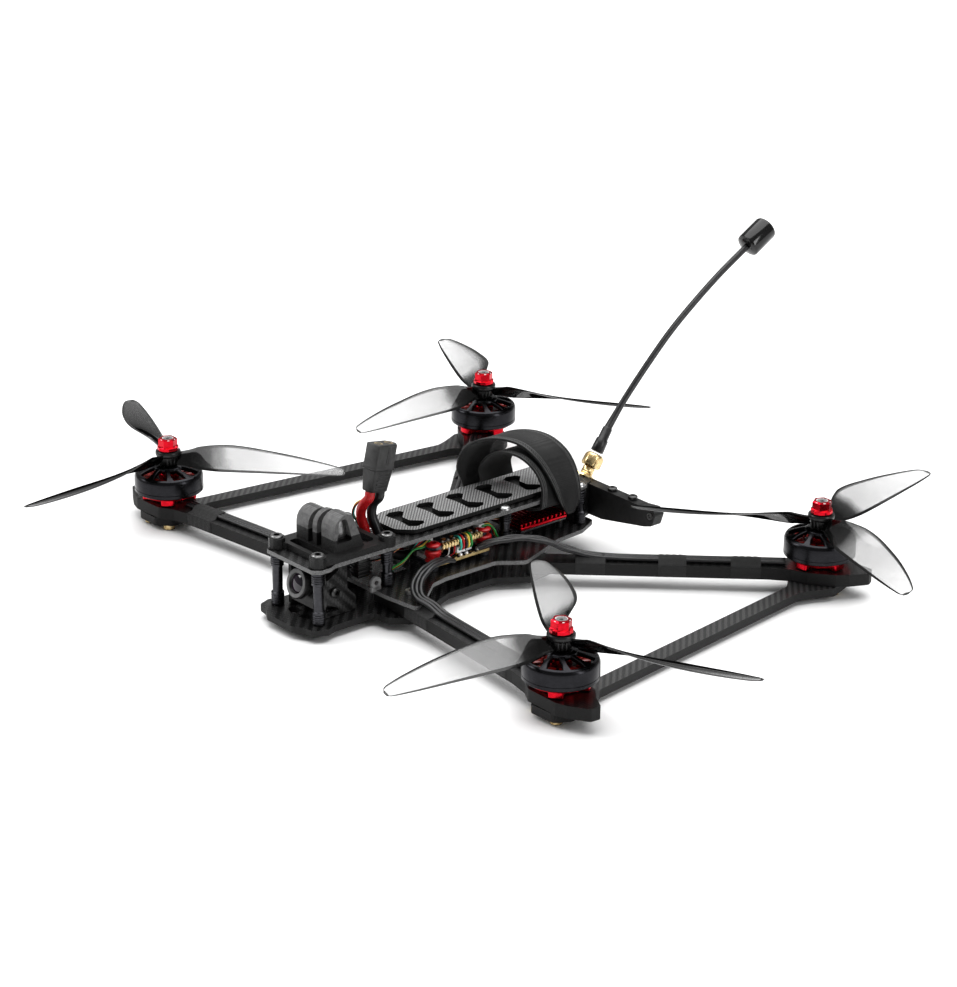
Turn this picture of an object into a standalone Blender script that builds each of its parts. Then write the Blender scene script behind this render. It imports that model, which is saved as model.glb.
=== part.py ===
"""Racing quadcopter with seven-inch three-blade propellers and a first-person camera.

Metres, +Z up. The origin is on the ground, midway between the four motors, and the
nose points along -Y. Sizes below are in millimetres; each builder turns them into
metres with MM as it makes its mesh.
"""

import math

import bmesh
import bpy
from mathutils import Matrix, Vector

MM = 0.001
GAP = 0.3  # clearance between pieces that touch

# Motor centres, in plan
FRONT_MOTOR = (141.9, -91.7)
REAR_MOTOR = (119.0, 91.7)

# Levels of the frame, bottom to top
BAR_BOTTOM = 2.2
BAR_TOP = 6.2
BOTTOM_PLATE_BOTTOM = 3.2
BOTTOM_PLATE_TOP = 6.2
ARM_BOTTOM = BOTTOM_PLATE_TOP + GAP
ARM_TOP = 12.3
MID_PLATE_BOTTOM = ARM_TOP + GAP
MID_PLATE_TOP = 14.6
TOP_PLATE_BOTTOM = 31.8
TOP_PLATE_TOP = 33.8
PAD_THICKNESS = 0.2
BATTERY_PLATE_BOTTOM = TOP_PLATE_TOP + PAD_THICKNESS + 2 * GAP
BATTERY_PLATE_TOP = BATTERY_PLATE_BOTTOM + 1.8

# Arms and side bars
ARM_HALF_WIDTH = 5.5
ARM_OFFSET = -2.2  # the arm's middle line passes beside the motor's centre
BAR_HALF_WIDTH = 4.15
BAR_OFFSET = 1.75
FRONT_ARM_DIRECTION = -6.0  # degrees from +X, pointing outward
REAR_ARM_DIRECTION = 46.5
FRONT_ARM_LENGTH = 133.0  # motor centre to the hidden root
REAR_ARM_LENGTH = 136.0
MOTOR_SCREW_RADIUS = 9.5

# Motors
BASE_LOBE_RADIUS = 13.2
STATOR_RADIUS = 14.0
BELL_RADIUS = 16.75
BELL_BOTTOM = 17.2
SHAFT_RADIUS = 2.5
MOTOR_SIDES = 20

# Propellers
PROP_PITCH = 100.0
BLADE_LEVEL = 33.3
HUB_BOTTOM = 30.6
HUB_TOP = 37.6
HUB_RADIUS = 6.9
NUT_BORE = 2.8
FRONT_RIGHT_BLADE_ANGLE = 23.5  # one blade's direction, from +X
FRONT_LEFT_BLADE_ANGLE = 158.5
REAR_RIGHT_BLADE_ANGLE = 99.0
REAR_LEFT_BLADE_ANGLE = 32.5

# Camera
CAMERA_PIVOT = (0.0, -110.6, 18.0)
CAMERA_TILT = 16.5
CAMERA_SIZE = 19.0

# Battery lead, connector and aerial
LEAD_RADIUS = 2.3
SIGNAL_RADIUS = 0.8
STRAP_THICKNESS = 1.6

CARBON = (0.035, 0.036, 0.04)
BLACK_METAL = (0.02, 0.02, 0.022)
BLACK_PLASTIC = (0.03, 0.03, 0.032)
RED_METAL = (0.5, 0.01, 0.015)
GREY_PLASTIC = (0.12, 0.12, 0.125)


def clear_scene():
    for item in list(bpy.data.objects):
        bpy.data.objects.remove(item, do_unlink=True)


def material(name, colour, roughness, metallic=0.0):
    """The named Principled material, made once."""
    found = bpy.data.materials.get(name)
    if found:
        return found
    made = bpy.data.materials.new(name)
    made.use_nodes = True
    shader = made.node_tree.nodes["Principled BSDF"]
    shader.inputs["Base Color"].default_value = (*colour, 1.0)
    shader.inputs["Roughness"].default_value = roughness
    shader.inputs["Metallic"].default_value = metallic
    made.diffuse_color = (*colour, 1.0)
    return made


def add_object(name, bm, look, origin=(0.0, 0.0, 0.0), smooth=False):
    """An object from a bmesh in millimetres, with its origin at the given point."""
    bmesh.ops.recalc_face_normals(bm, faces=bm.faces)
    offset = Vector(origin)
    bmesh.ops.transform(bm, matrix=Matrix.Translation(-offset), verts=bm.verts)
    bmesh.ops.scale(bm, vec=(MM, MM, MM), verts=bm.verts)
    mesh = bpy.data.meshes.new(name)
    bm.to_mesh(mesh)
    bm.free()
    mesh.materials.append(look)
    if smooth:
        mesh.shade_smooth()
        mesh.set_sharp_from_angle(angle=math.radians(35.0))
    made = bpy.data.objects.new(name, mesh)
    made.location = offset * MM
    bpy.context.scene.collection.objects.link(made)
    return made


def combine(target, tools, operation="UNION"):
    """Join or cut the target with the tools, keep the result in its own mesh."""
    for tool in tools:
        modifier = target.modifiers.new(operation.title(), "BOOLEAN")
        modifier.operation = operation
        modifier.object = tool
    bpy.context.view_layer.update()
    graph = bpy.context.evaluated_depsgraph_get()
    result = bpy.data.meshes.new_from_object(target.evaluated_get(graph))
    target.modifiers.clear()
    spent = target.data
    name = spent.name
    target.data = result
    bpy.data.meshes.remove(spent)
    result.name = name
    for tool in tools:
        mesh = tool.data
        bpy.data.objects.remove(tool, do_unlink=True)
        bpy.data.meshes.remove(mesh)
    return target


def shared_copy(source, name, origin):
    """Another object that shares the source's mesh."""
    copy = bpy.data.objects.new(name, source.data)
    copy.location = Vector(origin) * MM
    bpy.context.scene.collection.objects.link(copy)
    return copy


def rounded(corners, steps=3):
    """Closed outline through (x, y, radius) corners, each rounded by an arc."""
    points = []
    count = len(corners)
    for index, (x, y, radius) in enumerate(corners):
        corner = Vector((x, y))
        if radius <= 0.0:
            points.append(corner)
            continue
        before = (Vector(corners[index - 1][:2]) - corner).normalized()
        after = (Vector(corners[(index + 1) % count][:2]) - corner).normalized()
        half = before.angle(after) / 2.0
        centre = corner + (before + after).normalized() * (radius / math.sin(half))
        start = corner + before * (radius / math.tan(half)) - centre
        end = corner + after * (radius / math.tan(half)) - centre
        sweep = end.angle_signed(start)
        for step in range(steps + 1):
            turn = Matrix.Rotation(sweep * step / steps, 2)
            points.append(centre + turn @ start)
    return points


def mirrored(half, steps=3):
    """Closed outline from its right half, listed from the front to the rear."""
    left = [(-x, y, radius) for x, y, radius in reversed(half)]
    return rounded(half + left, steps)


def circle(x, y, radius, sides=12, phase=0.0):
    angles = [phase + 2.0 * math.pi * side / sides for side in range(sides)]
    return [
        Vector((x + radius * math.cos(angle), y + radius * math.sin(angle)))
        for angle in angles
    ]


def slab(outline, bottom, top, holes=()):
    """A flat plate with straight edges, with its holes."""
    bm = bmesh.new()
    edges = []
    for loop in (outline, *holes):
        verts = [bm.verts.new((point.x, point.y, bottom)) for point in loop]
        for index, vert in enumerate(verts):
            edges.append(bm.edges.new((vert, verts[(index + 1) % len(verts)])))
    bmesh.ops.triangle_fill(bm, use_beauty=True, use_dissolve=False, edges=edges)
    faces = bmesh.ops.extrude_face_region(bm, geom=list(bm.faces))
    raised = [item for item in faces["geom"] if isinstance(item, bmesh.types.BMVert)]
    bmesh.ops.translate(bm, vec=(0.0, 0.0, top - bottom), verts=raised)
    return bm


def turned(profile, sides, closed=False):
    """A solid turned about Z from (radius, height) points."""
    bm = bmesh.new()
    verts = [bm.verts.new((radius, 0.0, height)) for radius, height in profile]
    edges = [bm.edges.new(pair) for pair in zip(verts, verts[1:])]
    if closed:
        edges.append(bm.edges.new((verts[-1], verts[0])))
    bmesh.ops.spin(
        bm,
        geom=verts + edges,
        cent=(0.0, 0.0, 0.0),
        axis=(0.0, 0.0, 1.0),
        angle=2.0 * math.pi,
        steps=sides,
        use_merge=True,
    )
    bmesh.ops.remove_doubles(bm, verts=bm.verts, dist=0.001)
    return bm


def cylinder(radius, bottom, top, sides=12):
    return turned([(0.0, bottom), (radius, bottom), (radius, top), (0.0, top)], sides)


def skinned(rings):
    """A closed solid through rings with the same number of points each."""
    bm = bmesh.new()
    loops = [[bm.verts.new(point) for point in ring] for ring in rings]
    count = len(loops[0])
    for near, far in zip(loops, loops[1:]):
        for index in range(count):
            following = (index + 1) % count
            bm.faces.new((near[index], near[following], far[following], far[index]))
    bm.faces.new(loops[0])
    bm.faces.new(loops[-1])
    return bm


def moved(bm, matrix):
    bmesh.ops.transform(bm, matrix=matrix, verts=bm.verts)
    return bm


def aimed(origin, direction, side=(1.0, 0.0, 0.0)):
    """A frame at the origin whose +Z runs along the direction, with X near side."""
    z_axis = Vector(direction).normalized()
    x_axis = Vector(side)
    x_axis = (x_axis - z_axis * x_axis.dot(z_axis)).normalized()
    y_axis = z_axis.cross(x_axis)
    matrix = Matrix((x_axis, y_axis, z_axis)).transposed().to_4x4()
    matrix.translation = Vector(origin)
    return matrix


def upright_along_x(middle_x):
    """A frame for slabs that stand in the YZ plane: local x is Y, local y is Z."""
    matrix = Matrix(((0, 0, 1), (1, 0, 0), (0, 1, 0))).to_4x4()
    matrix.translation = Vector((middle_x, 0.0, 0.0))
    return matrix


def upright_along_y(middle_y):
    """A frame for slabs that stand in the XZ plane: local y is Z."""
    matrix = Matrix(((1, 0, 0), (0, 0, -1), (0, 1, 0))).to_4x4()
    matrix.translation = Vector((0.0, middle_y, 0.0))
    return matrix


def smooth_route(points, steps):
    """Points along a smooth curve through the given ones."""
    knots = [Vector(point) for point in points]
    padded = [2.0 * knots[0] - knots[1], *knots, 2.0 * knots[-1] - knots[-2]]
    route = []
    for index in range(1, len(padded) - 2):
        before, start, end, after = padded[index - 1 : index + 3]
        for step in range(steps):
            t = step / steps
            route.append(
                0.5
                * (
                    2.0 * start
                    + (end - before) * t
                    + (2.0 * before - 5.0 * start + 4.0 * end - after) * t * t
                    + (3.0 * start - before - 3.0 * end + after) * t * t * t
                )
            )
    route.append(knots[-1])
    return route


def tube(name, points, steps, radius, look):
    """A cord: a curve object with a round bevel and filled caps."""
    route = smooth_route(points, steps)
    curve = bpy.data.curves.new(name, "CURVE")
    curve.dimensions = "3D"
    curve.bevel_depth = radius * MM
    curve.bevel_resolution = 2
    curve.use_fill_caps = True
    spline = curve.splines.new("POLY")
    spline.points.add(len(route) - 1)
    for point, place in zip(spline.points, route):
        point.co = (*(place * MM), 1.0)
    curve.materials.append(look)
    made = bpy.data.objects.new(name, curve)
    bpy.context.scene.collection.objects.link(made)
    return made


# Frame plates -----------------------------------------------------------------


def make_bottom_plate():
    half = [
        (9.0, -132.0, 2.0),
        (14.0, -129.0, 1.5),
        (20.0, -128.0, 2.5),
        (22.3, -121.5, 2.0),
        (20.5, -116.5, 2.0),
        (20.5, -94.0, 3.0),
        (29.5, -93.2, 2.5),
        (37.0, -85.0, 3.0),
        (30.0, -67.0, 4.0),
        (25.0, -54.0, 4.0),
        (25.0, -27.0, 4.0),
        (35.0, -12.0, 3.0),
        (33.0, 2.0, 4.0),
        (20.0, 12.0, 4.0),
    ]
    slot = rounded(
        [
            (1.6, -123.4, 1.2),
            (8.4, -121.0, 1.2),
            (8.4, -117.2, 1.2),
            (1.6, -117.2, 1.2),
        ],
        2,
    )
    mirror_slot = [Vector((-point.x, point.y)) for point in slot]
    bm = slab(
        mirrored(half, 2), BOTTOM_PLATE_BOTTOM, BOTTOM_PLATE_TOP, (slot, mirror_slot)
    )
    look = material("bottom_plate_carbon", CARBON, 0.45)
    add_object("bottom_plate", bm, look)


def make_mid_plate():
    half = [
        (24.0, -90.0, 3.0),
        (42.5, -88.0, 2.0),
        (43.5, -80.6, 1.5),
        (35.5, -75.5, 4.0),
        (27.0, -65.0, 4.0),
        (25.2, -56.0, 3.0),
        (25.3, -26.0, 4.0),
        (34.0, -14.5, 4.0),
        (23.4, 15.0, 5.0),
        (22.0, 32.0, 4.0),
        (16.5, 44.0, 3.0),
    ]
    wire_slot = [
        (-6.0, -72.0, 2.0),
        (6.0, -72.0, 2.0),
        (6.0, -60.5, 2.0),
        (-6.0, -60.5, 2.0),
    ]
    bm = slab(mirrored(half), MID_PLATE_BOTTOM, MID_PLATE_TOP, (rounded(wire_slot, 2),))
    add_object("mid_plate", bm, material("mid_plate_carbon", CARBON, 0.45))


def make_top_plate():
    half = [
        (16.5, -126.0, 2.0),
        (19.4, -122.5, 2.0),
        (19.4, -117.5, 2.0),
        (17.4, -113.5, 2.0),
        (17.4, 34.0, 3.0),
        (15.6, 40.5, 2.0),
        (9.0, 44.0, 2.0),
    ]
    lead_slot = rounded(
        [
            (-10.8, -81.2, 1.5),
            (1.8, -81.2, 1.5),
            (1.8, -70.9, 1.5),
            (-10.8, -70.9, 1.5),
        ],
        2,
    )
    nose_window = rounded(
        [
            (-9.5, -100.0, 2.5),
            (9.5, -100.0, 2.5),
            (7.0, -90.0, 2.5),
            (-7.0, -90.0, 2.5),
        ],
        2,
    )
    bm = slab(
        mirrored(half), TOP_PLATE_BOTTOM, TOP_PLATE_TOP, (lead_slot, nose_window)
    )
    add_object("top_plate", bm, material("top_plate_carbon", CARBON, 0.45))


def battery_plate_outline(inset):
    half = [
        (7.0 - inset, -71.0 + inset, 4.0),
        (13.8 - inset, -64.0 + inset, 6.0),
        (13.8 - inset, 33.0 - inset, 6.0),
        (7.0 - inset, 40.0 - inset, 4.0),
    ]
    return mirrored(half)


def battery_plate_windows():
    """One wide window in each bay, waisted where the plate's spine would run."""
    windows = []
    for middle in (-59.0, -41.0, -23.0, -5.0, 13.0):
        half = [
            (2.6, middle - 4.0, 0.6),
            (8.4, middle - 4.8, 0.6),
            (10.6, middle - 1.4, 0.6),
            (9.4, middle + 3.6, 0.6),
            (7.2, middle + 5.0, 0.6),
            (2.6, middle + 0.2, 0.6),
        ]
        windows.append(mirrored(half, 1))
    return windows


def make_battery_plate():
    bm = slab(
        battery_plate_outline(0.0),
        BATTERY_PLATE_BOTTOM,
        BATTERY_PLATE_TOP,
        battery_plate_windows(),
    )
    add_object("battery_plate", bm, material("battery_plate_carbon", CARBON, 0.4))


def make_battery_pad():
    bottom = TOP_PLATE_TOP + GAP
    bm = slab(battery_plate_outline(2.0), bottom, bottom + PAD_THICKNESS)
    add_object("battery_pad", bm, material("pad_rubber", (0.02, 0.02, 0.02), 0.9))


# Arms and side bars -------------------------------------------------------------


def arm_outline(length, beak_turn):
    """An arm in its own frame: +X outward, the motor at the origin.

    Its tip is a blunt beak, turned by an angle about the motor.
    """
    turn = Matrix.Rotation(math.radians(beak_turn), 2)
    tip = [
        (11.5, -11.0, 1.5),
        (17.0, -8.6, 2.0),
        (25.0, -2.6, 1.5),
        (25.0, 2.6, 1.5),
        (16.5, 6.4, 2.0),
        (10.5, 10.6, 1.5),
    ]
    beak = [(turn @ Vector((x, y)), radius) for x, y, radius in tip]
    near = ARM_OFFSET - ARM_HALF_WIDTH
    far = ARM_OFFSET + ARM_HALF_WIDTH
    root = [
        (-5.0, 11.6, 3.0),
        (-13.0, 6.0, 4.0),
        (-22.0, far, 6.0),
        (-length, far, 1.0),
        (-length, near, 1.0),
        (-24.0, near, 6.0),
        (-13.0, -9.0, 4.0),
        (-6.0, -12.3, 3.0),
    ]
    return rounded([(point.x, point.y, radius) for point, radius in beak] + root, 2)


def make_arms():
    look = material("arm_carbon", CARBON, 0.5)
    ends = (
        ("front", FRONT_MOTOR, FRONT_ARM_DIRECTION, FRONT_ARM_LENGTH, 0.0),
        ("rear", REAR_MOTOR, REAR_ARM_DIRECTION, REAR_ARM_LENGTH, -20.0),
    )
    for end, motor, direction, length, beak_turn in ends:
        for side, sign in (("right", 1.0), ("left", -1.0)):
            bm = slab(arm_outline(length, beak_turn), ARM_BOTTOM, ARM_TOP)
            moved(bm, Matrix.Rotation(math.radians(direction), 4, "Z"))
            moved(bm, Matrix.Translation((motor[0], motor[1], 0.0)))
            moved(bm, Matrix.Diagonal((sign, 1.0, 1.0, 1.0)))
            add_object(f"arm_{end}_{side}", bm, look)


def bar_outline():
    """A side bar from motor to motor, with an eared pad under each."""
    front = Vector(FRONT_MOTOR)
    rear = Vector(REAR_MOTOR)
    along = (rear - front).normalized()
    across = Vector((along.y, -along.x))

    def at(motor, outward, lengthwise, radius):
        point = motor + across * outward + along * lengthwise
        return (point.x, point.y, radius)

    outer = BAR_OFFSET + BAR_HALF_WIDTH
    inner = BAR_OFFSET - BAR_HALF_WIDTH
    return rounded(
        [
            at(front, outer, 19.0, 5.0),
            at(front, 12.0, 8.5, 3.0),
            at(front, 12.0, -6.0, 2.5),
            at(front, 7.5, -12.8, 2.5),
            at(front, -6.0, -11.5, 2.5),
            at(front, -11.5, -5.0, 3.0),
            at(front, -10.5, 7.0, 4.0),
            at(front, inner, 19.0, 5.0),
            at(rear, inner, -21.0, 5.0),
            at(rear, -10.5, -9.0, 4.0),
            at(rear, -11.5, 5.0, 3.0),
            at(rear, -6.0, 11.5, 2.5),
            at(rear, 7.5, 12.8, 2.5),
            at(rear, 12.5, 6.0, 2.5),
            at(rear, 15.0, -8.0, 3.0),
            at(rear, 9.0, -17.5, 2.5),
            at(rear, outer, -24.0, 4.0),
        ],
        2,
    )


def make_side_bars():
    """Each bar carries the eight motor screws' heads on its underside."""
    look = material("side_bar_carbon", CARBON, 0.5)
    ends = ((FRONT_MOTOR, FRONT_ARM_DIRECTION), (REAR_MOTOR, REAR_ARM_DIRECTION))
    for side, sign in (("right", 1.0), ("left", -1.0)):
        mirror = Matrix.Diagonal((sign, 1.0, 1.0, 1.0))
        bar = moved(slab(bar_outline(), BAR_BOTTOM, BAR_TOP), mirror)
        target = add_object(f"side_bar_{side}", bar, look)
        heads = []
        for motor, direction in ends:
            for quarter in range(4):
                angle = math.radians(direction + 45.0 + 90.0 * quarter)
                place = (
                    motor[0] + MOTOR_SCREW_RADIUS * math.cos(angle),
                    motor[1] + MOTOR_SCREW_RADIUS * math.sin(angle),
                    0.0,
                )
                head = cylinder(2.75, 0.0, BAR_BOTTOM + 1.0, 8)
                moved(head, mirror @ Matrix.Translation(place))
                heads.append(add_object("screw_head", head, look))
        combine(target, heads)


# Standoffs and camera plates ------------------------------------------------------


def make_standoffs():
    look = material("standoff_aluminium", BLACK_METAL, 0.4, 0.8)
    top = TOP_PLATE_BOTTOM - GAP
    on_bottom = BOTTOM_PLATE_TOP + GAP
    on_mid = MID_PLATE_TOP + GAP
    places = (
        ("nose_front", 15.0, -121.4, on_bottom),
        ("nose_rear", 15.0, -82.0, on_mid),
        ("mid", 11.6, -8.1, on_mid),
        ("tail", 15.0, 36.0, on_mid),
    )
    collar = 2.75
    waist = 2.25
    collar_height = 6.0
    for name, x, y, bottom in places:
        profile = [
            (0.0, bottom),
            (collar, bottom),
            (collar, bottom + collar_height),
            (waist, bottom + collar_height + 0.5),
            (waist, top - collar_height - 0.5),
            (collar, top - collar_height),
            (collar, top),
            (0.0, top),
        ]
        for side, sign in (("right", 1.0), ("left", -1.0)):
            bm = turned(profile, 10)
            moved(bm, Matrix.Translation((sign * x, y, 0.0)))
            add_object(f"standoff_{name}_{side}", bm, look, smooth=True)


def make_camera_plates():
    look = material("camera_plate_carbon", CARBON, 0.45)
    bottom = BOTTOM_PLATE_TOP + GAP
    top = TOP_PLATE_BOTTOM - GAP
    outline = rounded(
        [
            (-117.0, bottom, 0.5),
            (-98.0, bottom, 0.5),
            (-98.0, 13.0, 2.0),
            (-103.0, 18.0, 2.0),
            (-103.0, top, 0.5),
            (-117.0, top, 0.5),
        ],
        2,
    )
    upper_window = rounded(
        [(-115.2, 23.8, 0.6), (-106.0, 29.3, 0.6), (-115.2, 29.3, 0.6)], 1
    )
    lower_window = rounded(
        [(-115.2, 8.6, 0.6), (-106.0, 8.6, 0.6), (-115.2, 13.2, 0.6)], 1
    )
    windows = (upper_window, lower_window)
    for side, sign in (("right", 1.0), ("left", -1.0)):
        bm = slab(outline, -1.0, 1.0, windows)
        moved(bm, upright_along_x(sign * 11.5))
        add_object(f"camera_plate_{side}", bm, look)


def camera_frame():
    """The camera's frame: at the pivot, with +Z along the lens."""
    tilt = math.radians(CAMERA_TILT)
    forward = (0.0, -math.cos(tilt), math.sin(tilt))
    return aimed(CAMERA_PIVOT, forward)


def make_camera():
    half = CAMERA_SIZE / 2.0
    look = material("camera_plastic", BLACK_PLASTIC, 0.5)
    outline = rounded(
        [
            (-half, -half, 1.5),
            (half, -half, 1.5),
            (half, half, 1.5),
            (-half, half, 1.5),
        ],
        1,
    )
    body = moved(slab(outline, -6.0, 6.0), camera_frame())
    target = add_object("camera_body", body, look, CAMERA_PIVOT)
    boss = moved(
        cylinder(2.6, -10.2, 10.2, 12), aimed(CAMERA_PIVOT, (1.0, 0.0, 0.0), (0, 1, 0))
    )
    combine(target, [add_object("camera_boss", boss, look, CAMERA_PIVOT)])
    lens = [
        (0.0, 6.3),
        (5.6, 6.3),
        (5.6, 9.3),
        (7.0, 9.8),
        (7.0, 12.3),
        (5.2, 12.3),
        (4.2, 11.3),
        (0.0, 11.6),
    ]
    bm = moved(turned(lens, 20), camera_frame())
    lens_look = material("lens_barrel", GREY_PLASTIC, 0.4)
    add_object("camera_lens", bm, lens_look, CAMERA_PIVOT, smooth=True)


# Printed mounts -------------------------------------------------------------------


PRONG_RADIUS = 6.8
PRONG_FRONT = -111.1


def prong_outline(crest):
    """One action-camera prong in the YZ plane, with a sloping back."""
    middle = PRONG_FRONT + PRONG_RADIUS
    height = crest - PRONG_RADIUS
    arc = [
        Vector(
            (
                middle + PRONG_RADIUS * math.cos(math.radians(angle)),
                height + PRONG_RADIUS * math.sin(math.radians(angle)),
            )
        )
        for angle in range(60, 181, 20)
    ]
    foot = [Vector((PRONG_FRONT, 35.0)), Vector((-93.4, 35.0))]
    return arc + foot


def make_nose_mount():
    """A frame on the four nose screws, with three prongs and a nut pocket."""
    look = material("printed_black", BLACK_PLASTIC, 0.6)
    bottom = TOP_PLATE_TOP + GAP
    outer = [
        (10.0, -119.5, 1.0),
        (14.0, -123.0, 1.0),
        (18.0, -121.4, 1.0),
        (17.5, -80.5, 1.0),
        (13.0, -80.5, 1.0),
        (11.0, -83.0, 1.0),
    ]
    opening = [(12.0, -92.5, 1.5), (12.0, -87.5, 1.5), (10.0, -86.0, 0.8)]
    front_opening = [(12.0, -117.0, 1.0), (12.0, -112.4, 1.0)]
    holes = (mirrored(opening, 1), mirrored(front_opening, 1))
    target = add_object("nose_mount", slab(mirrored(outer, 2), bottom, 37.0, holes), look)
    parts = []
    for x in (15.0, -15.0):
        for y in (-121.4, -82.0):
            sleeve = cylinder(3.9, bottom + 0.05, 39.0, 12)
            moved(sleeve, Matrix.Translation((x, y, 0.0)))
            parts.append(add_object("sleeve", sleeve, look))
    prongs = ((-9.5, 8.6, 51.6), (-0.45, 3.0, 52.8), (9.15, 9.4, 54.0))
    for middle, thickness, crest in prongs:
        hole = circle(PRONG_FRONT + PRONG_RADIUS - 1.0, 46.6, 2.6, 10)
        half = thickness / 2.0
        prong = slab(prong_outline(crest), -half, half, (hole,))
        moved(prong, upright_along_x(middle))
        parts.append(add_object("prong", prong, look))
    combine(target, parts)
    pocket = rounded(
        [
            (-109.6, 41.2, 0.8),
            (-101.0, 41.2, 0.8),
            (-104.2, 52.4, 1.5),
            (-108.4, 51.6, 1.5),
        ],
        2,
    )
    cutter = moved(slab(pocket, 10.2, 15.0), upright_along_x(0.0))
    combine(target, [add_object("nut_pocket", cutter, look)], "DIFFERENCE")


def make_tail_mount():
    look = material("printed_black", BLACK_PLASTIC, 0.6)
    block = slab(
        rounded(
            [
                (-11.6, 34.0, 1.0),
                (11.6, 34.0, 1.0),
                (11.6, 43.0, 1.0),
                (9.0, 50.0, 2.0),
                (-9.0, 50.0, 2.0),
                (-11.6, 43.0, 1.0),
            ],
            1,
        ),
        MID_PLATE_TOP + GAP,
        TOP_PLATE_BOTTOM - GAP,
    )
    target = add_object("tail_mount", block, look)
    arm = slab(
        rounded(
            [
                (2.0, 15.5, 1.0),
                (20.0, 15.5, 3.0),
                (49.0, 20.6, 3.0),
                (54.2, 22.2, 1.5),
                (56.4, 28.6, 1.5),
                (53.6, 31.0, 1.5),
                (46.0, 30.2, 3.0),
                (2.0, 31.2, 1.0),
            ],
            3,
        ),
        -2.9,
        2.9,
        (circle(52.6, 26.8, 1.8, 12),),
    )
    moved(arm, upright_along_y(49.0))
    extra = [add_object("tail_arm", arm, look)]
    combine(target, extra)
    bore = moved(cylinder(3.5, -9.0, 14.0, 16), socket_frame())
    combine(target, [add_object("socket_bore", bore, look)], "DIFFERENCE")


# Electronics ----------------------------------------------------------------------

STACK_CENTRE_Y = -40.0
STACK_POST = 15.25


def make_esc_board():
    """The speed controller board and the four posts that carry both boards."""
    look = material("esc_board", (0.02, 0.025, 0.02), 0.5)
    outline = rounded(
        [
            (-18.0, -57.0, 2.0),
            (18.0, -57.0, 2.0),
            (18.0, -22.5, 2.0),
            (-18.0, -22.5, 2.0),
        ],
        1,
    )
    target = add_object("esc_board", slab(outline, 17.0, 18.6), look)
    posts = []
    for x in (STACK_POST, -STACK_POST):
        for y in (STACK_CENTRE_Y + STACK_POST, STACK_CENTRE_Y - STACK_POST):
            post = cylinder(2.7, MID_PLATE_TOP + GAP, 24.7, 10)
            moved(post, Matrix.Translation((x, y, 0.0)))
            posts.append(add_object("post", post, look))
    combine(target, posts)


def make_flight_board():
    look = material("flight_board", (0.02, 0.02, 0.025), 0.5)
    outline = rounded(
        [
            (-17.5, -57.5, 2.5),
            (17.5, -57.5, 2.5),
            (17.5, -22.5, 2.5),
            (-17.5, -22.5, 2.5),
        ],
        1,
    )
    add_object("flight_board", slab(outline, 25.0, 26.6), look)


def make_video_transmitter():
    look = material("heatsink_red", RED_METAL, 0.35, 0.9)
    outline = rounded(
        [(-15.5, -1.5, 1.0), (15.5, -1.5, 1.0), (15.5, 27.5, 1.0), (-15.5, 27.5, 1.0)],
        1,
    )
    target = add_object("video_transmitter", slab(outline, 18.6, 23.0), look)
    legs = []
    for x in (-13.0, 13.0):
        for y in (1.0, 25.0):
            leg = cylinder(1.8, MID_PLATE_TOP + GAP, 19.6, 8)
            moved(leg, Matrix.Translation((x, y, 0.0)))
            legs.append(add_object("leg", leg, look))
    combine(target, legs)


# Cords ------------------------------------------------------------------------------

CONNECTOR_FOOT = (-0.8, -75.9, 54.2)
TERMINAL_OFFSET = 3.6

RED_LEAD_ROUTE = [
    (-5.2, -57.4, 18.6),
    (-5.2, -64.0, 19.4),
    (-5.2, -71.5, 22.6),
    (-5.3, -76.6, 29.0),
    (-5.4, -78.6, 35.0),
    (-5.6, -80.6, 42.0),
    (-3.2, -81.2, 47.6),
]
BLACK_LEAD_ROUTE = [
    (0.4, -57.4, 18.6),
    (0.4, -62.5, 19.4),
    (0.0, -68.5, 22.6),
    (-0.8, -72.6, 29.0),
    (-2.2, -74.2, 35.0),
    (-4.2, -75.4, 41.0),
    (-4.0, -74.6, 46.5),
]
SIGNAL_ROUTE = [
    (-8.8, -57.4, 19.6),
    (-8.9, -64.0, 21.0),
    (-9.0, -71.0, 25.0),
    (-9.0, -75.0, 31.0),
    (-9.2, -79.6, 37.0),
    (-8.7, -82.6, 42.8),
    (-7.2, -81.4, 47.6),
]


def connector_frame():
    """The plug's frame: at the middle of its foot, +Z up its body, Y along its width."""
    return aimed(CONNECTOR_FOOT, (0.0, 5.2, 23.0), (0.98, 0.19, 0.0))


def into_connector(route, x, y):
    """A route finished straight into the plug's foot, a gap short of it."""
    frame = connector_frame()
    ends = [frame @ Vector((x, y, height)) for height in (-3.4, -1.6, -GAP)]
    return route + ends


def make_battery_leads():
    red = material("lead_red", (0.5, 0.01, 0.01), 0.4)
    black = material("lead_black", (0.015, 0.015, 0.015), 0.4)
    signal = material("signal_wires", (0.05, 0.3, 0.25), 0.4)
    cords = (
        ("battery_lead_red", RED_LEAD_ROUTE, LEAD_RADIUS, 0.0, -TERMINAL_OFFSET, red),
        ("battery_lead_black", BLACK_LEAD_ROUTE, LEAD_RADIUS, 0.0, TERMINAL_OFFSET, black),
        ("signal_wires", SIGNAL_ROUTE, SIGNAL_RADIUS, -2.2, 0.0, signal),
    )
    for name, route, radius, x, y, look in cords:
        tube(name, into_connector(route, x, y), 2, radius, look)


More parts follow.
